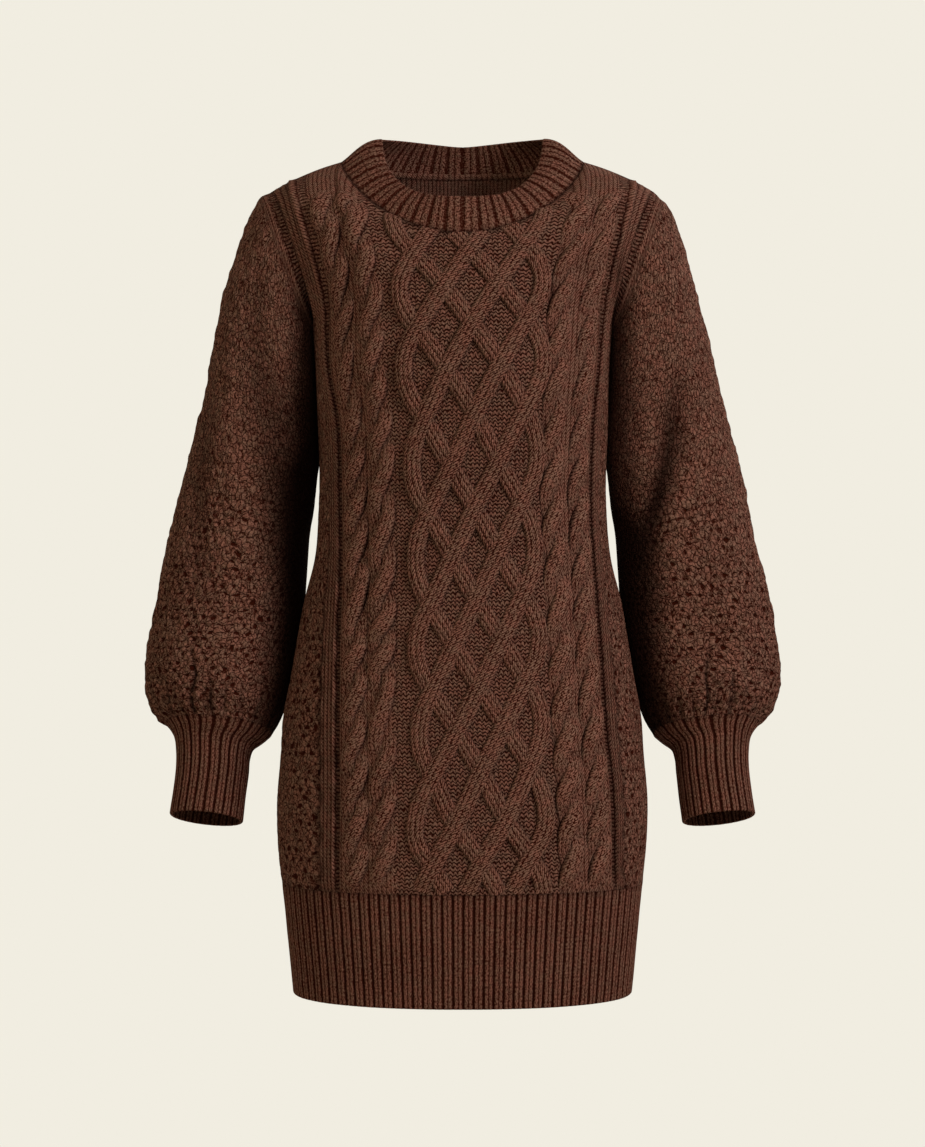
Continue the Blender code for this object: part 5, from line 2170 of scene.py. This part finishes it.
@dataclass
class Studio:
    """The pale floor, the soft lights and the camera."""

    backdrop: str = "#F1EDE1"
    distance: float = 2.5  # of the camera, metres
    eye: float = -0.4135  # its height
    lens: float = 36 * 2500 / 1147  # shows 1147 mm in the frame's height at the origin
    floor: float = -1.27
    radius: float = 1.15
    ambient: float = 0.09

    def build(self) -> None:
        """Set up the studio."""
        scene = bpy.context.scene
        scene.view_settings.view_transform = "Standard"
        scene.view_settings.look = "None"
        scene.world = self.world()
        self.pale_floor()
        for lamp in (
            ("key", (2.1, -1.75, 0.9), (0.0, 0.0, -0.4), 1.1, 72.0, "#FFF5F0"),
            ("fill", (-2.1, -1.75, 0.6), (0.0, 0.0, -0.4), 1.1, 23.5, "#FFF1CC"),
            ("front", (0.3, -2.6, 1.4), (0.0, 0.0, -0.4), 1.2, 12.0, "#FFF6EE"),
            ("rim_left", (1.5, 1.3, 1.0), (0.1, 0.0, -0.2), 0.9, 26.0, "#FFF2E4"),
            ("rim_right", (-1.5, 1.3, 1.0), (-0.1, 0.0, -0.2), 0.9, 9.0, "#FFEED2"),
        ):
            self.light(*lamp)
        camera = bpy.data.cameras.new("camera")
        camera.sensor_fit = "AUTO"
        camera.lens = self.lens
        camera.clip_start, camera.clip_end = 0.05, 50
        eye = bpy.data.objects.new("camera", camera)
        eye.location = (0, -self.distance, self.eye)
        eye.rotation_euler = (math.pi / 2, 0, 0)
        scene.collection.objects.link(eye)
        scene.camera = eye

    def world(self) -> bpy.types.World:
        """Make the pale surround: a plain colour behind the dress, and soft light all round.

        Returns:
            The world.
        """
        world = bpy.data.worlds.new("pale studio")
        world.use_nodes = True
        tree = world.node_tree
        shown = tree.nodes["Background"]
        shown.inputs["Color"].default_value = linear(self.backdrop)
        ambient = tree.nodes.new("ShaderNodeBackground")
        ambient.inputs["Color"].default_value = linear("#FFF9F2")
        ambient.inputs["Strength"].default_value = self.ambient
        path = tree.nodes.new("ShaderNodeLightPath")
        mix = tree.nodes.new("ShaderNodeMixShader")
        tree.links.new(path.outputs["Is Camera Ray"], mix.inputs[0])
        tree.links.new(ambient.outputs[0], mix.inputs[1])
        tree.links.new(shown.outputs[0], mix.inputs[2])
        tree.links.new(mix.outputs[0], tree.nodes["World Output"].inputs["Surface"])
        return world

    def pale_floor(self) -> None:
        """Lay a round pale floor, well below the hem."""
        mesh = bpy.data.meshes.new("floor")
        work = bmesh.new()
        bmesh.ops.create_circle(work, cap_ends=True, segments=96, radius=self.radius)
        work.to_mesh(mesh)
        work.free()
        floor = bpy.data.objects.new("floor", mesh)
        mesh.transform(Matrix.Translation((0, 0, self.floor)))
        bpy.context.scene.collection.objects.link(floor)
        sketch = Sketch("pale matte floor paint")
        spot = sketch.add("ShaderNodeTexCoord", output="Object")
        noise = sketch.add("ShaderNodeTexNoise", spot, links={"Scale": 60.0})
        # Matte warm white, a touch uneven.
        ends = {0: noise * 0.2, 6: linear(self.backdrop), 7: linear("#E9E4D6")}
        colour = sketch.add("ShaderNodeMix", links=ends, output=2, data_type="RGBA")
        sketch.tree.links.new(colour.socket, sketch.shader.inputs["Base Color"])
        sketch.shader.inputs["Roughness"].default_value = 0.8
        mesh.materials.append(sketch.material)

    def light(
        self,
        name: str,
        place: tuple[float, float, float],
        target: tuple[float, float, float],
        size: float,
        power: float,
        colour: str,
    ) -> None:
        """Add one soft square light.

        Args:
            name: its name.
            place: where it stands, in metres.
            target: what it points at.
            size: its side, in metres.
            power: watts.
            colour: sRGB hex.
        """
        data = bpy.data.lights.new(name, "AREA")
        data.size = size
        data.energy = power
        data.color = linear(colour)[:3]
        lamp = bpy.data.objects.new(name, data)
        lamp.location = place
        lamp.rotation_euler = (Vector(target) - Vector(place)).to_track_quat("-Z", "Y").to_euler()
        bpy.context.scene.collection.objects.link(lamp)


# ---------------------------------------------------------------- making


def make_finishes() -> dict[str, bpy.types.Material]:
    """Make every knitted finish of the dress.

    Returns:
        The materials, by name.
    """
    # Each: relief in mm, how much painted shade follows the stitches and colour the fibres, tone,
    # and stray.
    finishes = (
        # Rows of deep arcs with painted shade between them, which set the cables off.
        KnitFinish("purl ground", Stitch.PURL, 1.6, 1.2, 0.75, 0.31, 0.9),
        # Close columns of small Vs, the smoothest and most even cloth.
        KnitFinish("plain knit", Stitch.PLAIN, 0.9, 0.9, 0.55, 0.32, 0.35),
        # One column of small rungs in a slot painted with shade.
        KnitFinish("ladder", Stitch.BARS, 1.4, 0.75, 0.8, 0.33, 0.75),
        # Crumbly lumps round eyelets painted dark with shade.
        KnitFinish("moss knit", Stitch.MOSS, 1.8, 0.95, 0.65, 0.19, 0.6),
        # Firm dark ribs with soft streaks down them.
        KnitFinish("rib knit", Stitch.RIB, 0.9, 0.7, 0.75, 0.13, 0.12),
        # The neckband's, a little lighter and softer.
        KnitFinish("soft rib knit", Stitch.RIB, 0.9, 0.6, 0.9, 0.16, 0.14),
        # Raised columns that catch the light, with painted shade in the lines between.
        KnitFinish("cable knit", Stitch.PLAIN, 1.2, 1.25, 1.4, 0.32, 0.45),
        # The same, plumper and lighter.
        KnitFinish("rope knit", Stitch.PLAIN, 0.8, 1.05, 1.45, 0.38, 0.45),
    )
    return {f.name: f.material() for f in finishes}


def main() -> None:
    """Build the studio and then the dress, piece by piece."""
    logging.basicConfig(level=logging.INFO, format="%(message)s")
    Studio().build()
    body, finishes = BodyForm(), make_finishes()
    front_map = PanelMap(body, -1)
    log.info("panel map ready")

    front = FrontPanel(body, finishes)
    front_piece = front.build()
    lattice = LatticeCable(body, finishes, front_map).build()
    for name, centre, reach, gaps in ROPES:
        size = {"name": name, "centre": centre, "reach": reach, "gaps": gaps}
        RopeCable(body, finishes, front_map, **size).build()
    back = BackPanel(body, finishes)
    back_piece = back.build()
    arms = (("left", 1, LEFT_CREASES, LEFT_SHADE), ("right", -1, RIGHT_CREASES, RIGHT_SHADE))
    for side, sign, creases, shade in arms:
        sleeve = Sleeve(body, finishes, side=side, sign=sign, creases=creases, inner=shade)
        sleeve.build()
    neck = Neckband(body, finishes)
    neck_piece = neck.build()
    hem = HemBand(body, finishes)
    hem_piece = hem.build()
    for side, sign, _, _ in arms:
        cuff = Cuff(body, finishes, node=f"cuff_{side}", side=side, sign=sign)
        cuff.build()


if __name__ == "__main__":
    main()
